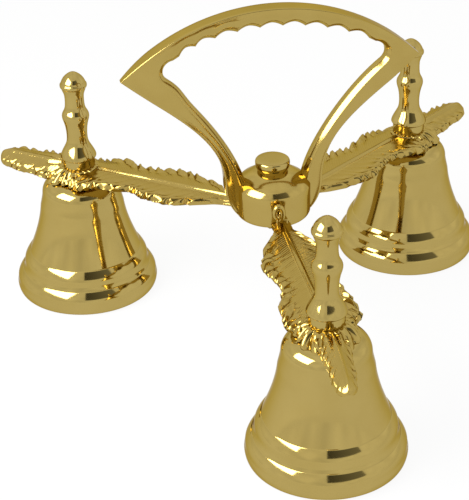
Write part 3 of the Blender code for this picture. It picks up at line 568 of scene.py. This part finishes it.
def feather_spot(along, around):
    """One point of the cast feather: rows run out along the arm, columns over its top and back under it."""
    reach = ARM_ROOT + (ARM_TIP - ARM_ROOT) * along / FEATHER_ROWS
    end = math.sqrt(1 - min(max(0, reach - (ARM_TIP - TIP_ROUND)) / TIP_ROUND, 1) ** 2)
    tongue = eased(*TONGUE_STRETCH, reach)
    root = 1 - eased(*ROOT_STRETCH, reach)
    over_bell = eased(*BELL_STRETCH, reach) * (1 - tongue)
    on_top = around <= TOP_COLUMNS
    if on_top:                      # where the columns lie closer together towards the edges
        share = 0.35 * -math.cos(math.pi * around / TOP_COLUMNS) + 0.65 * (2 * around / TOP_COLUMNS - 1)
    else:
        share = 1 - 2 * (around - TOP_COLUMNS) / BELOW_COLUMNS
    side = SIDE_SHIFT if share > 0 else 0
    outward = abs(share)
    plain_half = between(HALF_WIDTHS, reach / MM) * MM
    swept = rib_end(reach, outward * plain_half)
    edge_swept = rib_end(reach, plain_half)
    fold = fold_crest(swept, reach, side)
    edge_fold = fold_crest(edge_swept, reach, side)
    sway = 0.5 + 0.5 * math.cos(math.tau * (edge_swept / SWAY_PITCH + side))
    frill = (1 - root) * (1 - 0.25 * tongue) * eased(*FRILL_STRETCH, reach)
    half = plain_half - frill * (EDGE_LOBE * (1 - edge_fold ** 0.75) + EDGE_SWAY * sway - EDGE_SPREAD)
    width = share * half * max(end, 0.02)
    off_collar = math.hypot(reach - ARM_REACH, width)
    fall = (EDGE_FALL + TONGUE_FALL * tongue) * outward ** 2.2
    droop = BELL_DROOP * over_bell * eased(0.35, 1.0, outward)
    if on_top:
        rib_half = RIB_HALF + TONGUE_RIB_WIDER * tongue
        rib = (RIB_HEIGHT - TONGUE_RIB_LOWER * tongue) * bell_shaped(width, rib_half)
        off_rib = 1 - bell_shaped(width, 1.5 * rib_half)
        crease = CREASE_DEPTH + EDGE_CREASE_DEPTH * eased(0.3, 1.0, outward) ** 1.3
        crease *= 1 - fold ** 0.9
        barb = BARB_DEPTH * (0.5 - 0.5 * math.cos(math.tau * swept / BARB_PITCH)) * eased(1.0, 0.75, outward)
        # Painted shade: barbs and creases are painted darker the deeper they are, away from the rib.
        groove_shading[along, around] = frill * off_rib * min(1, BARB_SHADE * barb + CREASE_SHADE * crease)
        curl = LOBE_CURL * fold * eased(0.6, 0.9, outward)
        petals = eased(*PETALS_BEGIN, off_collar) * eased(*PETALS_END, off_collar)
        petals *= eased(*PETAL_STRETCH, reach)
        ridge = petal_ridge(math.atan2(width, reach - ARM_REACH))
        z = on_crown(RIB_ROW - fall - droop, off_collar, LEAST_BODY)
        z += rib * (1 - petals) - frill * off_rib * (crease + barb - curl)
        z += PETAL_HEIGHT * petals * (ridge ** 0.9 - 0.55) - EDGE_DROP * eased(0.89, 1.0, outward)
        z = on_crown(z, off_collar, LEAST_GROOVE)
        seat = 1 - eased(*SEAT_BLEND, off_collar)
        z = z * (1 - seat) + (SEAT_TOP - SEAT_COVER) * seat
    else:
        thinned = outward ** 1.5
        thick = FEATHER_THICKNESS - EDGE_THINNER * thinned + TONGUE_THICKER * tongue * (1 - thinned)
        z = RIB_ROW - 0.8 * fall - droop - thick - UNDERSIDE_CREASE * frill * outward * (1 - fold ** 0.7)
        z = on_crown(z, off_collar, TOUCH_GAP)
    middle = RIB_ROW - (FEATHER_MIDDLE + TONGUE_MIDDLE * tongue)
    return Vector((reach, width, middle + (z - middle) * max(end, 0.05)))


# The feather's painted shade, point by point.
def feather_groove_shade(along, around):
    return groove_shading.get((along, around), 0.0)


feather = draw_out("feather", FEATHER_ROWS, TOP_COLUMNS + BELOW_COLUMNS, feather_spot, feather_groove_shade)
arm_parts = [feather]

# Under the collar the feather's foot spreads in a skirt of folded petals that droops over the bell's crown.
SKIRT_INNER = 7.0 * MM
SKIRT_REACHES = ((0, 14.0), (24, 15.8), (45, 15.4), (70, 13.7), (95, 12.5), (180, 12.0))  # degrees and mm
SKIRT_FOLD = 2.9 * MM               # how far the edge lies in between two petals
SKIRT_SWAY = 0.6 * MM
SKIRT_FALL = 5.6 * MM
SKIRT_RIDGE = 1.7 * MM
SKIRT_THICKNESS = 1.05 * MM
SKIRT_CLEARANCE = 1.15 * MM         # its top over the bell's crown
SKIRT_STEPS = 20                    # rows to each fold
SKIRT_ACROSS = 15


def skirt_angle(along):
    return math.tau * along / (PETAL_FOLDS * SKIRT_STEPS)


def skirt_spot(along, around):
    """One point of the petal skirt: rows run round the collar, columns out over a petal and back under it."""
    angle = skirt_angle(along)
    off_front = math.degrees(min(angle, math.tau - angle))
    ridge = petal_ridge(angle)
    outer = between(SKIRT_REACHES, off_front) * MM - SKIRT_FOLD * (1 - ridge ** 0.8)
    outer += SKIRT_SWAY * math.cos(7 * angle)
    if around <= SKIRT_ACROSS:
        share, thick = around / SKIRT_ACROSS, 0.0
    else:
        share, thick = 1 - (around - SKIRT_ACROSS - 1) / SKIRT_ACROSS, SKIRT_THICKNESS
    radius = SKIRT_INNER + (outer - SKIRT_INNER) * share
    z = RIB_ROW - SKIRT_FALL * share ** 1.7 + SKIRT_RIDGE * share ** 0.6 * (ridge ** 0.9 - 0.5)
    z = on_crown(z, radius, SKIRT_CLEARANCE) - thick * (1 - 0.3 * share)
    return Vector((ARM_REACH + radius * math.cos(angle), radius * math.sin(angle), z))


# Painted shade in the folds between the petals, darkest deep in each fold.
def skirt_fold_shade(along, around):
    return (1 - petal_ridge(skirt_angle(along))) ** 1.5


arm_parts.append(draw_out("petal_skirt", PETAL_FOLDS * SKIRT_STEPS, 2 * SKIRT_ACROSS + 2, skirt_spot,
                          skirt_fold_shade))


def ring_outline(bore, radius, low, high, edge):
    """Section of a plain ring whose outer edges are broken."""
    return [(bore, low), (radius - edge, low), (radius, low + edge), (radius, high - edge),
            (radius - edge, high), (bore, high), (bore, low)]


def block(middle, size):
    bpy.ops.mesh.primitive_cube_add(size=1, location=middle)
    bpy.context.object.scale = size
    bpy.ops.object.transform_apply()
    return bpy.context.object


seat_outline = ring_outline(SHANK_HOLE, SEAT_RADIUS, ARM_LEVEL, SEAT_TOP, SEAT_EDGE)
arm_parts.append(turn_on_lathe("seat", seat_outline, (ARM_REACH, 0), cuts=48))

# A plain bar at the feather's root goes into the hub, where the screw from below holds it.
HUB_BAR_MIDDLE = (12.6 * MM, 0, 61.8 * MM)
HUB_BAR_SIZE = (12.8 * MM, 5.0 * MM, 4.0 * MM)
HUB_BAR_EDGE = 0.4 * MM
hub_bar = block(HUB_BAR_MIDDLE, HUB_BAR_SIZE)
broken_edges = hub_bar.modifiers.new("edges", "BEVEL")
broken_edges.width = HUB_BAR_EDGE
broken_edges.segments = 2
bpy.ops.object.modifier_apply(modifier=broken_edges.name)
arm_parts.append(hub_bar)

# The bud stands at the feather's root.
BUD_COIL = (-1.9 * MM, 67.2 * MM)   # middle of the coil, across and up
BUD_RADIUS = 2.75 * MM
BUD_TIGHTENS = 0.80                 # share of the radius that is gone at the coil's inner end
BUD_NARROW, BUD_TALL = 0.78, 1.4    # the coil's shape across and up
BUD_START, BUD_TURNS = -80, 520     # degrees
BUD_REACH, BUD_LEAN = 18.5 * MM, 1.3 * MM
BUD_THICKNESS = 1.6 * MM            # half the stem's, at the coil's start
BUD_THINS = 0.38
BUD_END = 0.95                      # share of the coil past which its end is rounded
STALK_SHARE = 0.24
STALK_FOOT = (21.6 * MM, 61.0 * MM)     # out along the arm and up
STALK_THICKER = 0.8 * MM
BUD_ROWS, BUD_COLUMNS = 110, 18


def bud_spot(along, around):
    """A stalk that rises from the feather's root and coils up on itself like a young fern, facing outward."""
    share = along / BUD_ROWS
    coiled = max(0, (share - STALK_SHARE) / (1 - STALK_SHARE))
    turn = BUD_START + BUD_TURNS * coiled
    coil_y, coil_z = polar((0, 0), BUD_RADIUS * (1 - BUD_TIGHTENS * coiled), turn)
    y, z = BUD_COIL[0] + BUD_NARROW * coil_y, BUD_COIL[1] + BUD_TALL * coil_z
    reach = BUD_REACH + BUD_LEAN * coiled
    thick = BUD_THICKNESS * (1 - BUD_THINS * coiled)
    if share < STALK_SHARE:
        risen = share / STALK_SHARE
        reach = STALK_FOOT[0] + (reach - STALK_FOOT[0]) * risen ** 0.7
        z = STALK_FOOT[1] + (z - STALK_FOOT[1]) * risen
        thick = BUD_THICKNESS + STALK_THICKER * (1 - eased(0, 1, risen))
    thick *= math.sqrt(max(0.02, 1 - max(0, coiled - BUD_END) / (1.001 - BUD_END)))
    angle = math.tau * around / BUD_COLUMNS
    across, up = polar((0, 0), thick * math.cos(angle), turn)
    return Vector((reach + 1.15 * thick * math.sin(angle), y + across, z + up))


arm_parts.append(draw_out("bud", BUD_ROWS, BUD_COLUMNS, bud_spot))
select_only(*arm_parts)
bpy.ops.object.join()
smooth_over(feather, degrees=50)

arm_brass = polished_brass("arm_brass", CAST_BRASS, CAST_BRASS_DEEP, roughness=(0.08, 0.17))
arm_tree = arm_brass.node_tree
arm_link = arm_tree.links.new
arm_colour = arm_tree.nodes["Principled BSDF"].inputs["Base Color"]
plain_tint = arm_colour.links[0].from_socket
# Painted shade: the brass turns towards a darker brass where the points carry groove shade.
groove_shade_value = add_node(arm_tree, "Attribute", attribute_name="groove_shade")
groove_shade_tint = add_node(arm_tree, "Mix", data_type="RGBA", B=(*GROOVE_SHADE_BRASS, 1))
groove_shade_mix = rescaled(arm_tree, groove_shade_value.outputs["Fac"], 0, 1, 0, GROOVE_SHADE_SHARE)
arm_link(groove_shade_mix, groove_shade_tint.inputs["Factor"])
arm_link(plain_tint, groove_shade_tint.inputs["A"])
arm_link(groove_shade_tint.outputs["Result"], arm_colour)

# Past its bell each arm's tip was bent a little by hand: how far it drops and moves aside, what share of its
# width is pressed in, and its tilt.
ARM_TURNS = {"front": -90, "left": 143, "right": 37}
BEND_START = 108 * MM
PRESS_STRETCH = (101 * MM, 112 * MM)
PRESS_FALL = 0.55                   # how far a side drops for each step that it is pressed in
TIP_BENDS = {
    "front": (2.8 * MM, -2.0 * MM, 0.34, 0.0),
    "left": (0, 0, 0.06, 0.20),
    "right": (0, 0, 0.06, -0.10),
}
for station, (tip_drop, tip_aside, press, tilt) in TIP_BENDS.items():
    cast_arm = feather.copy()
    cast_arm.data = feather.data.copy()
    cast_arm.name = station + "_arm_cast"
    bpy.context.collection.objects.link(cast_arm)
    for vert in cast_arm.data.vertices:
        bent = max(0, vert.co.x - BEND_START) / (ARM_TIP - BEND_START)
        pressed = eased(*PRESS_STRETCH, vert.co.x)
        side_fall = pressed * (PRESS_FALL * press * abs(vert.co.y) + tilt * vert.co.y)
        vert.co.z -= side_fall + tip_drop * bent ** 1.5
        vert.co.y = vert.co.y * (1 - press * pressed) + tip_aside * bent ** 1.5
    select_only(cast_arm)
    cast_arm.rotation_euler = (0, 0, math.radians(ARM_TURNS[station]))
    cast_arm.location = (0, hub_y, 0)
    bpy.ops.object.transform_apply()
    finish_piece(cast_arm, arm_brass, "frame", "cast_brass", station + "_arm")
bpy.data.objects.remove(feather)


# The bells are cast and turned bright: a round shoulder, a long flare, two rolled steps and a lip. The shank
# of the hanger clamps each one by its crown, under its arm.
MOUTH_RADIUS = 32.8 * MM
MOUTH_HEIGHT = 3.6 * MM
RIM_RADIUS = 31.4 * MM
RIM_WIDTH = 1.8 * MM
WAIST_RADIUS = 19.2 * MM
WAIST_HEIGHT = 42.2 * MM
BELL_WALL = 2.6 * MM
ROLLS = ((19.6 * MM, 7.6 * MM), (10.9 * MM, 7.0 * MM))      # top and height of each
ROLL_STEP = 0.2 * MM
ROLL_PROUD = 0.75 * MM
ROLL_CUTS = (0, 0.02, 0.05, 0.10, 0.16, 0.22, 0.30, 0.38, 0.46, 0.54, 0.62, 0.70, 0.80, 0.90)
FLARE_STEP = 1.2 * MM
CROWN_CUT = 8 * MM                  # a ring of points on the crown's flat


def flare_radius(height):
    """Outer radius of the plain flare, found by halving along its curve."""
    drop = WAIST_HEIGHT - MOUTH_HEIGHT
    spread = MOUTH_RADIUS - WAIST_RADIUS
    controls = ((WAIST_RADIUS, WAIST_HEIGHT), (WAIST_RADIUS + 0.12 * spread, WAIST_HEIGHT - 0.38 * drop),
                (MOUTH_RADIUS - 0.34 * spread, MOUTH_HEIGHT + 0.29 * drop), (MOUTH_RADIUS, MOUTH_HEIGHT))
    low, high = 0.0, 1.0
    for _ in range(30):
        middle = (low + high) / 2
        if bezier(controls, middle)[1] > height:
            low = middle
        else:
            high = middle
    return bezier(controls, low)[0]


def bell_radius(height):
    """Outer radius of the flare with its two rolls, each with a sharp foot under the step above it."""
    radius = flare_radius(height)
    for top, depth in ROLLS:
        share = (top - height) / depth
        if 0 <= share <= 1:
            swell = ROLL_STEP * min(share / 0.02, 1) + ROLL_PROUD * (1 - (1 - min(share / 0.5, 1)) ** 2)
            radius += swell * (1 - eased(0.5, 1.0, share))
    return radius


# The outline runs from the crown over shoulder, flare, rolls and lip, and up again inside.
shoulder_low = BELL_HEIGHT - SHOULDER_ROUND
bell_outline = [(SHANK_HOLE, BELL_HEIGHT), (CROWN_CUT, BELL_HEIGHT)]
bell_outline += arc((CROWN_RADIUS, shoulder_low), SHOULDER_ROUND, 90, 0, 16)
for share in (0.25, 0.5, 0.75):
    level = shoulder_low + (WAIST_HEIGHT - shoulder_low) * share
    bell_outline.append((SHOULDER_RADIUS + (WAIST_RADIUS - SHOULDER_RADIUS) * share ** 1.2, level))
level = WAIST_HEIGHT
while level > ROLLS[0][0] + FLARE_STEP / 2:
    bell_outline.append((flare_radius(level), level))
    level -= FLARE_STEP
for top, depth in ROLLS:
    for share in ROLL_CUTS:
        bell_outline.append((bell_radius(top - depth * share), top - depth * share))
    if top == ROLLS[0][0]:
        for share in (0.15, 0.4, 0.65, 0.9):
            level = (top - depth) + (ROLLS[1][0] - (top - depth)) * share
            bell_outline.append((flare_radius(level), level))
lip_round = MOUTH_RADIUS - RIM_RADIUS
for turn in range(0, 91, 15):
    bell_outline.append((RIM_RADIUS + lip_round * math.cos(math.radians(turn)),
                         MOUTH_HEIGHT * (1 - math.sin(math.radians(turn)))))
bell_outline.append((RIM_RADIUS - RIM_WIDTH, 0))
inside_steps = 23
for k in range(1, inside_steps + 1):
    level = MOUTH_HEIGHT + (WAIST_HEIGHT - MOUTH_HEIGHT) * k / inside_steps
    bell_outline.append((flare_radius(level) - BELL_WALL, level))
inner_round = SHOULDER_ROUND - BELL_WALL
bell_outline += arc((SHOULDER_RADIUS - BELL_WALL - inner_round, shoulder_low), inner_round, 0, 90, 8)
bell_outline += [(SHANK_HOLE, BELL_HEIGHT - BELL_WALL), (SHANK_HOLE, BELL_HEIGHT)]

bell_axes = {station: upright_axis(station + "_finial") for station in ("front", "left", "right")}
for station, axis in bell_axes.items():
    turn_bright(station + "_bell", bell_outline, axis, cuts=128, degrees=32, spacing=0.35 * MM)


# The finials are long nuts turned in baluster form: collar, bulb, bead and a domed cap with a ring under it.
# Each screws down on its hanger's shank and clamps arm and bell together.
FINIAL_BASE = SEAT_TOP + TOUCH_GAP
FINIAL_BORE = 13.3 * MM             # how far the shank screws in
# Height over the arm's seat and radius, in mm.
FINIAL_PROFILE = ((0.0, 7.0), (0.4, 7.2), (2.0, 7.25), (4.0, 7.25), (4.3, 7.3), (4.5, 7.8), (4.8, 8.05),
                  (5.3, 8.1), (6.4, 7.75), (7.8, 7.1), (9.2, 6.35), (10.6, 5.6), (12.0, 5.05), (13.4, 4.8),
                  (15.2, 4.7), (17.0, 4.75), (18.8, 4.9), (20.6, 5.2), (22.2, 5.6), (23.6, 6.0), (25.0, 6.15),
                  (26.2, 5.9), (27.2, 5.4), (28.2, 4.9), (29.4, 4.55), (31.5, 4.35), (34.0, 4.35),
                  (35.4, 4.5), (36.8, 4.95), (38.0, 5.4), (38.8, 5.7), (39.1, 6.0), (39.8, 6.1), (40.5, 5.95),
                  (40.8, 5.6), (41.4, 5.45), (42.6, 4.85), (43.8, 3.95), (44.8, 2.85), (45.5, 1.8),
                  (45.9, 0.9), (46.1, 0.0))
finial_outline = [(0, FINIAL_BASE + FINIAL_BORE), (SHANK_HOLE, FINIAL_BASE + FINIAL_BORE),
                  (SHANK_HOLE, FINIAL_BASE)]
for (start, _), (end, _) in zip(FINIAL_PROFILE, FINIAL_PROFILE[1:]):
    cuts = 3 if end - start > 1.5 else 2
    for k in range(cuts):
        height = start + (end - start) * k / cuts
        finial_outline.append((max(between(FINIAL_PROFILE, height), 0) * MM, FINIAL_BASE + height * MM))
finial_outline.append((0, FINIAL_BASE + FINIAL_PROFILE[-1][0] * MM))
for station, axis in bell_axes.items():
    turn_bright(station + "_finial", finial_outline, axis, cuts=72, degrees=38, spacing=0.25 * MM)


# Under the hub and inside the bells sit plain machined fixings: base plate, stud, nuts, washers, slotted
# screws and the hangers' eyes. They are left as turned, duller than what shows from above.
FIXING_BRASS = (0.42, 0.31, 0.09)
FIXING_BRASS_DEEP = (0.34, 0.24, 0.06)
SCREW_SHANK = 1.25 * MM
SCREW_HOLE = 1.55 * MM
SCREW_HOLE_DEPTH = 2 * MM           # more than the base plate's thickness
SCREW_SLOT = 0.7 * MM
SCREW_SLOT_DEPTH = 0.55 * MM
fixing_brass = polished_brass("fixing_brass", FIXING_BRASS, FIXING_BRASS_DEEP, roughness=(0.2, 0.36))


def turned_ring(node, edge):
    """A plate or washer with broken edges and a hole for the stud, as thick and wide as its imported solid."""
    low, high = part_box(node)
    outline = ring_outline(STUD_HOLE, (high.x - low.x) / 2, low.z, high.z, edge)
    return turn_on_lathe(node + "_turned", outline, (0, hub_y), cuts=72)


def show_solid(node, material):
    """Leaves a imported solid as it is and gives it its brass."""
    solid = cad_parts[node]
    solid.data.materials.clear()
    solid.data.materials.append(material)


base_plate = turned_ring("hub_base_plate", 0.3 * MM)
plate_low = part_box("hub_base_plate")[0].z
for station in bell_axes:
    low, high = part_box(station + "_arm_screw")
    screw_axis = upright_axis(station + "_arm_screw")
    head_radius = (high.x - low.x) / 2
    head_top = plate_low - TOUCH_GAP
    screw_outline = [(0, low.z), (0.72 * head_radius, low.z), (head_radius, low.z + 0.28 * head_radius),
                     (head_radius, head_top), (SCREW_SHANK, head_top), (SCREW_SHANK, high.z), (0, high.z)]
    screw = turn_on_lathe(station + "_arm_screw_turned", screw_outline, screw_axis, cuts=48)
    slot_cutter = block((*screw_axis, low.z), (SCREW_SLOT, 3 * head_radius, 2 * SCREW_SLOT_DEPTH))
    combine(screw, slot_cutter, "DIFFERENCE")
    smooth_over(screw, degrees=30)
    finish_piece(screw, fixing_brass, "frame", "fixing_brass", station + "_arm_screw")
    bpy.ops.mesh.primitive_cylinder_add(vertices=40, radius=SCREW_HOLE, depth=2 * SCREW_HOLE_DEPTH,
                                        location=(*screw_axis, plate_low))
    bpy.ops.object.transform_apply()
    combine(base_plate, bpy.context.object, "DIFFERENCE")
smooth_over(base_plate, degrees=30)
finish_piece(base_plate, fixing_brass, "frame", "fixing_brass", "hub_base_plate")

centre_washer = turned_ring("centre_washer", 0.2 * MM)
smooth_over(centre_washer, degrees=30)
finish_piece(centre_washer, fixing_brass, "frame", "fixing_brass", "centre_washer")

for node in ("centre_stud", "centre_nut"):
    show_solid(node, fixing_brass)
for station in bell_axes:
    for end in ("_hanger_eye", "_crown_washer", "_crown_nut"):
        show_solid(station + end, fixing_brass)


# Each clapper is a drawn wire link, a rod with an eye on the link, and a ball driven on the rod's end. It
# hangs loosely in its bell, and its brass is dull where it isn't struck.
CLAPPER_BRASS = (0.40, 0.29, 0.085)
CLAPPER_BRASS_DEEP = (0.32, 0.22, 0.055)
BALL_HOLE = 1.5 * MM
BALL_HOLE_DEPTH = 6.3 * MM
clapper_brass = polished_brass("clapper_brass", CLAPPER_BRASS, CLAPPER_BRASS_DEEP, roughness=(0.16, 0.3))
for station, axis in bell_axes.items():
    low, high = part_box(station + "_clapper_ball")
    ball_radius = (high.x - low.x) / 2
    ball_middle = low.z + ball_radius
    hole_end = ball_middle + ball_radius - BALL_HOLE_DEPTH
    hole_rim = math.degrees(math.acos(BALL_HOLE / ball_radius))
    ball_outline = [(0, hole_end), (BALL_HOLE, hole_end)]
    ball_outline += arc((0, ball_middle), ball_radius, hole_rim, -90, 32)[:-1] + [(0, low.z)]
    ball = turn_on_lathe(station + "_clapper_ball_turned", ball_outline, axis, cuts=64)
    smooth_over(ball, degrees=38)
    finish_piece(ball, clapper_brass, station + "_clapper", "clapper_brass", station + "_clapper_ball")
    for end in ("_clapper_link", "_clapper_rod"):
        show_solid(station + end, clapper_brass)


# The table is a plain white sheet that reaches well past the chime and takes its shadow. Its white meets the
# white behind it, so that its edge doesn't show.
ROOM_TONE = 0.84                    # what the brass sees of the table and of the room round it
TABLE_WHITE = (0.86, 0.86, 0.85)
TABLE_SIZE = 6
TABLE_LEVEL = -0.0002
TABLE_GLOW = 0.92                   # share of the table's white that doesn't take the shadow
bpy.ops.mesh.primitive_plane_add(size=TABLE_SIZE, location=(0, 0, TABLE_LEVEL))
table = bpy.context.object
table.name = "table"
table_white = bpy.data.materials.new("table_white")
table_white.use_nodes = True
table_tree = table_white.node_tree
table_link = table_tree.links.new
table_shader = table_tree.nodes["Principled BSDF"]
table_shader.inputs["Base Color"].default_value = (*TABLE_WHITE, 1)
table_shader.inputs["Roughness"].default_value = 0.9
table_shader.inputs["Specular IOR Level"].default_value = 0.0
seen = add_node(table_tree, "LightPath")
bright = add_node(table_tree, "Emission", Color=(1, 1, 1, 1))
either_ray = add_node(table_tree, "Math", operation="MAXIMUM")
blend_white = add_node(table_tree, "MixShader")
table_link(seen.outputs["Is Camera Ray"], either_ray.inputs[0])
table_link(seen.outputs["Is Glossy Ray"], either_ray.inputs[1])
table_link(rescaled(table_tree, either_ray.outputs["Value"], 0, 1, 0, TABLE_GLOW), blend_white.inputs["Fac"])
table_link(table_shader.outputs["BSDF"], blend_white.inputs[1])
table_link(bright.outputs["Emission"], blend_white.inputs[2])
table_link(rescaled(table_tree, seen.outputs["Is Camera Ray"], 0, 1, ROOM_TONE, 1), bright.inputs["Strength"])
table_link(blend_white.outputs["Shader"], table_tree.nodes["Material Output"].inputs["Surface"])
table.data.materials.append(table_white)


# The studio is an even pale room with one big soft lamp at the left of the camera. Right of the camera
# stands a dark flag, which puts the dark patch beside every bright one in the polished brass.
FLAG_LEFT, FLAG_RIGHT = -12, 42     # degrees right of straight ahead, from the chime
FLAG_LOW, FLAG_HIGH = 20, 52        # degrees up
FLAG_SOFT = 1.5                     # degrees over which its edges fade
FLAG_TONES = (0.07, 0.24)           # at its left edge and at its right one
ROOM_DRIFT = 0.10                   # how far the room's tone wanders
studio = bpy.data.worlds.new("studio")
studio.use_nodes = True
bpy.context.scene.world = studio
room_tree = studio.node_tree
room_link = room_tree.links.new


def within(angle, low, high):
    """1 where an angle lies between low and high degrees, with the flag's soft edges."""
    both = add_node(room_tree, "Math", operation="MULTIPLY")
    edges = ((low - FLAG_SOFT, low + FLAG_SOFT), (high + FLAG_SOFT, high - FLAG_SOFT))
    for k, (dark, pale) in enumerate(edges):
        edge = rescaled(room_tree, angle, math.radians(dark), math.radians(pale), 0, 1, "SMOOTHSTEP")
        room_link(edge, both.inputs[k])
    return both.outputs["Value"]


direction = add_node(room_tree, "TexCoord")
apart = add_node(room_tree, "SeparateXYZ")
backward = add_node(room_tree, "Math", operation="MULTIPLY")
backward.inputs[1].default_value = -1.0
facing = add_node(room_tree, "Math", operation="ARCTAN2")
raised = add_node(room_tree, "Math", operation="ARCSINE")
room_link(direction.outputs["Generated"], apart.inputs["Vector"])
room_link(apart.outputs["Y"], backward.inputs[0])
room_link(apart.outputs["X"], facing.inputs[0])
room_link(backward.outputs["Value"], facing.inputs[1])
room_link(apart.outputs["Z"], raised.inputs[0])
flag = add_node(room_tree, "Math", operation="MULTIPLY")
room_link(within(facing.outputs["Value"], FLAG_LEFT, FLAG_RIGHT), flag.inputs[0])
room_link(within(raised.outputs["Value"], FLAG_LOW, FLAG_HIGH), flag.inputs[1])

room_drift = add_node(room_tree, "TexNoise", Scale=2.2, Detail=1.0)
room_link(direction.outputs["Generated"], room_drift.inputs["Vector"])
room_shade = rescaled(room_tree, room_drift.outputs["Fac"], 0.3, 0.7, ROOM_TONE - ROOM_DRIFT,
                      ROOM_TONE + ROOM_DRIFT)
flag_shade = rescaled(room_tree, facing.outputs["Value"], math.radians(FLAG_LEFT), math.radians(FLAG_RIGHT),
                      *FLAG_TONES)
room_tone = add_node(room_tree, "Mix", data_type="RGBA")
room_link(room_shade, room_tone.inputs["A"])
room_link(flag_shade, room_tone.inputs["B"])
room_link(flag.outputs["Value"], room_tone.inputs["Factor"])
camera_sees = add_node(room_tree, "LightPath")
white_behind = add_node(room_tree, "Mix", data_type="RGBA", B=(1, 1, 1, 1))
room_link(camera_sees.outputs["Is Camera Ray"], white_behind.inputs["Factor"])
room_link(room_tone.outputs["Result"], white_behind.inputs["A"])
room_link(white_behind.outputs["Result"], room_tree.nodes["Background"].inputs["Color"])

CHIME_MIDDLE = Vector((0, 0, 0.07))
LAMP_TURN, LAMP_RISE = -74, 34.5    # degrees right of the front and up, seen from the chime
LAMP_DISTANCE = 0.52
LAMP_SIZE = (0.40, 0.31)
LAMP_POWER = 3.3


def line_out(turn, rise):
    """A unit line from the chime, turn degrees right of the front and rise degrees up."""
    turn, rise = math.radians(turn), math.radians(rise)
    return Vector((math.sin(turn) * math.cos(rise), -math.cos(turn) * math.cos(rise), math.sin(rise)))


lamp_data = bpy.data.lights.new("key_soft_box", "AREA")
lamp_data.shape = "RECTANGLE"
lamp_data.size, lamp_data.size_y = LAMP_SIZE
lamp_data.energy = LAMP_POWER
lamp = bpy.data.objects.new("key_soft_box", lamp_data)
bpy.context.collection.objects.link(lamp)
to_lamp = line_out(LAMP_TURN, LAMP_RISE)
lamp.location = CHIME_MIDDLE + to_lamp * LAMP_DISTANCE
lamp.rotation_euler = to_lamp.to_track_quat("Z", "Y").to_euler()


# The camera stands in front and a little to the left, looking down on the chime at the photograph's angle.
# It is turned by a degree and a half about its own line.
CAMERA_TURN, CAMERA_RISE = -10.253, 29.677
CAMERA_DISTANCE = 0.7184
CAMERA_ROLL = -1.510
CAMERA_TARGET = Vector((-0.0175, 0.02326, 0.0409))
CAMERA_LENS, CAMERA_SENSOR = 125.8, 36
camera_data = bpy.data.cameras.new("camera")
camera_data.lens = CAMERA_LENS
camera_data.sensor_width = CAMERA_SENSOR
camera_data.sensor_fit = "HORIZONTAL"
camera = bpy.data.objects.new("camera", camera_data)
bpy.context.collection.objects.link(camera)
camera.rotation_mode = "QUATERNION"
to_camera = line_out(CAMERA_TURN, CAMERA_RISE)
aim = to_camera.to_track_quat("Z", "Y").to_matrix().to_4x4()
camera.matrix_world = (Matrix.Translation(CAMERA_TARGET + to_camera * CAMERA_DISTANCE) @ aim
                       @ Matrix.Rotation(math.radians(CAMERA_ROLL), 4, "Z"))
bpy.context.scene.camera = camera
bpy.context.scene.view_settings.view_transform = "Standard"
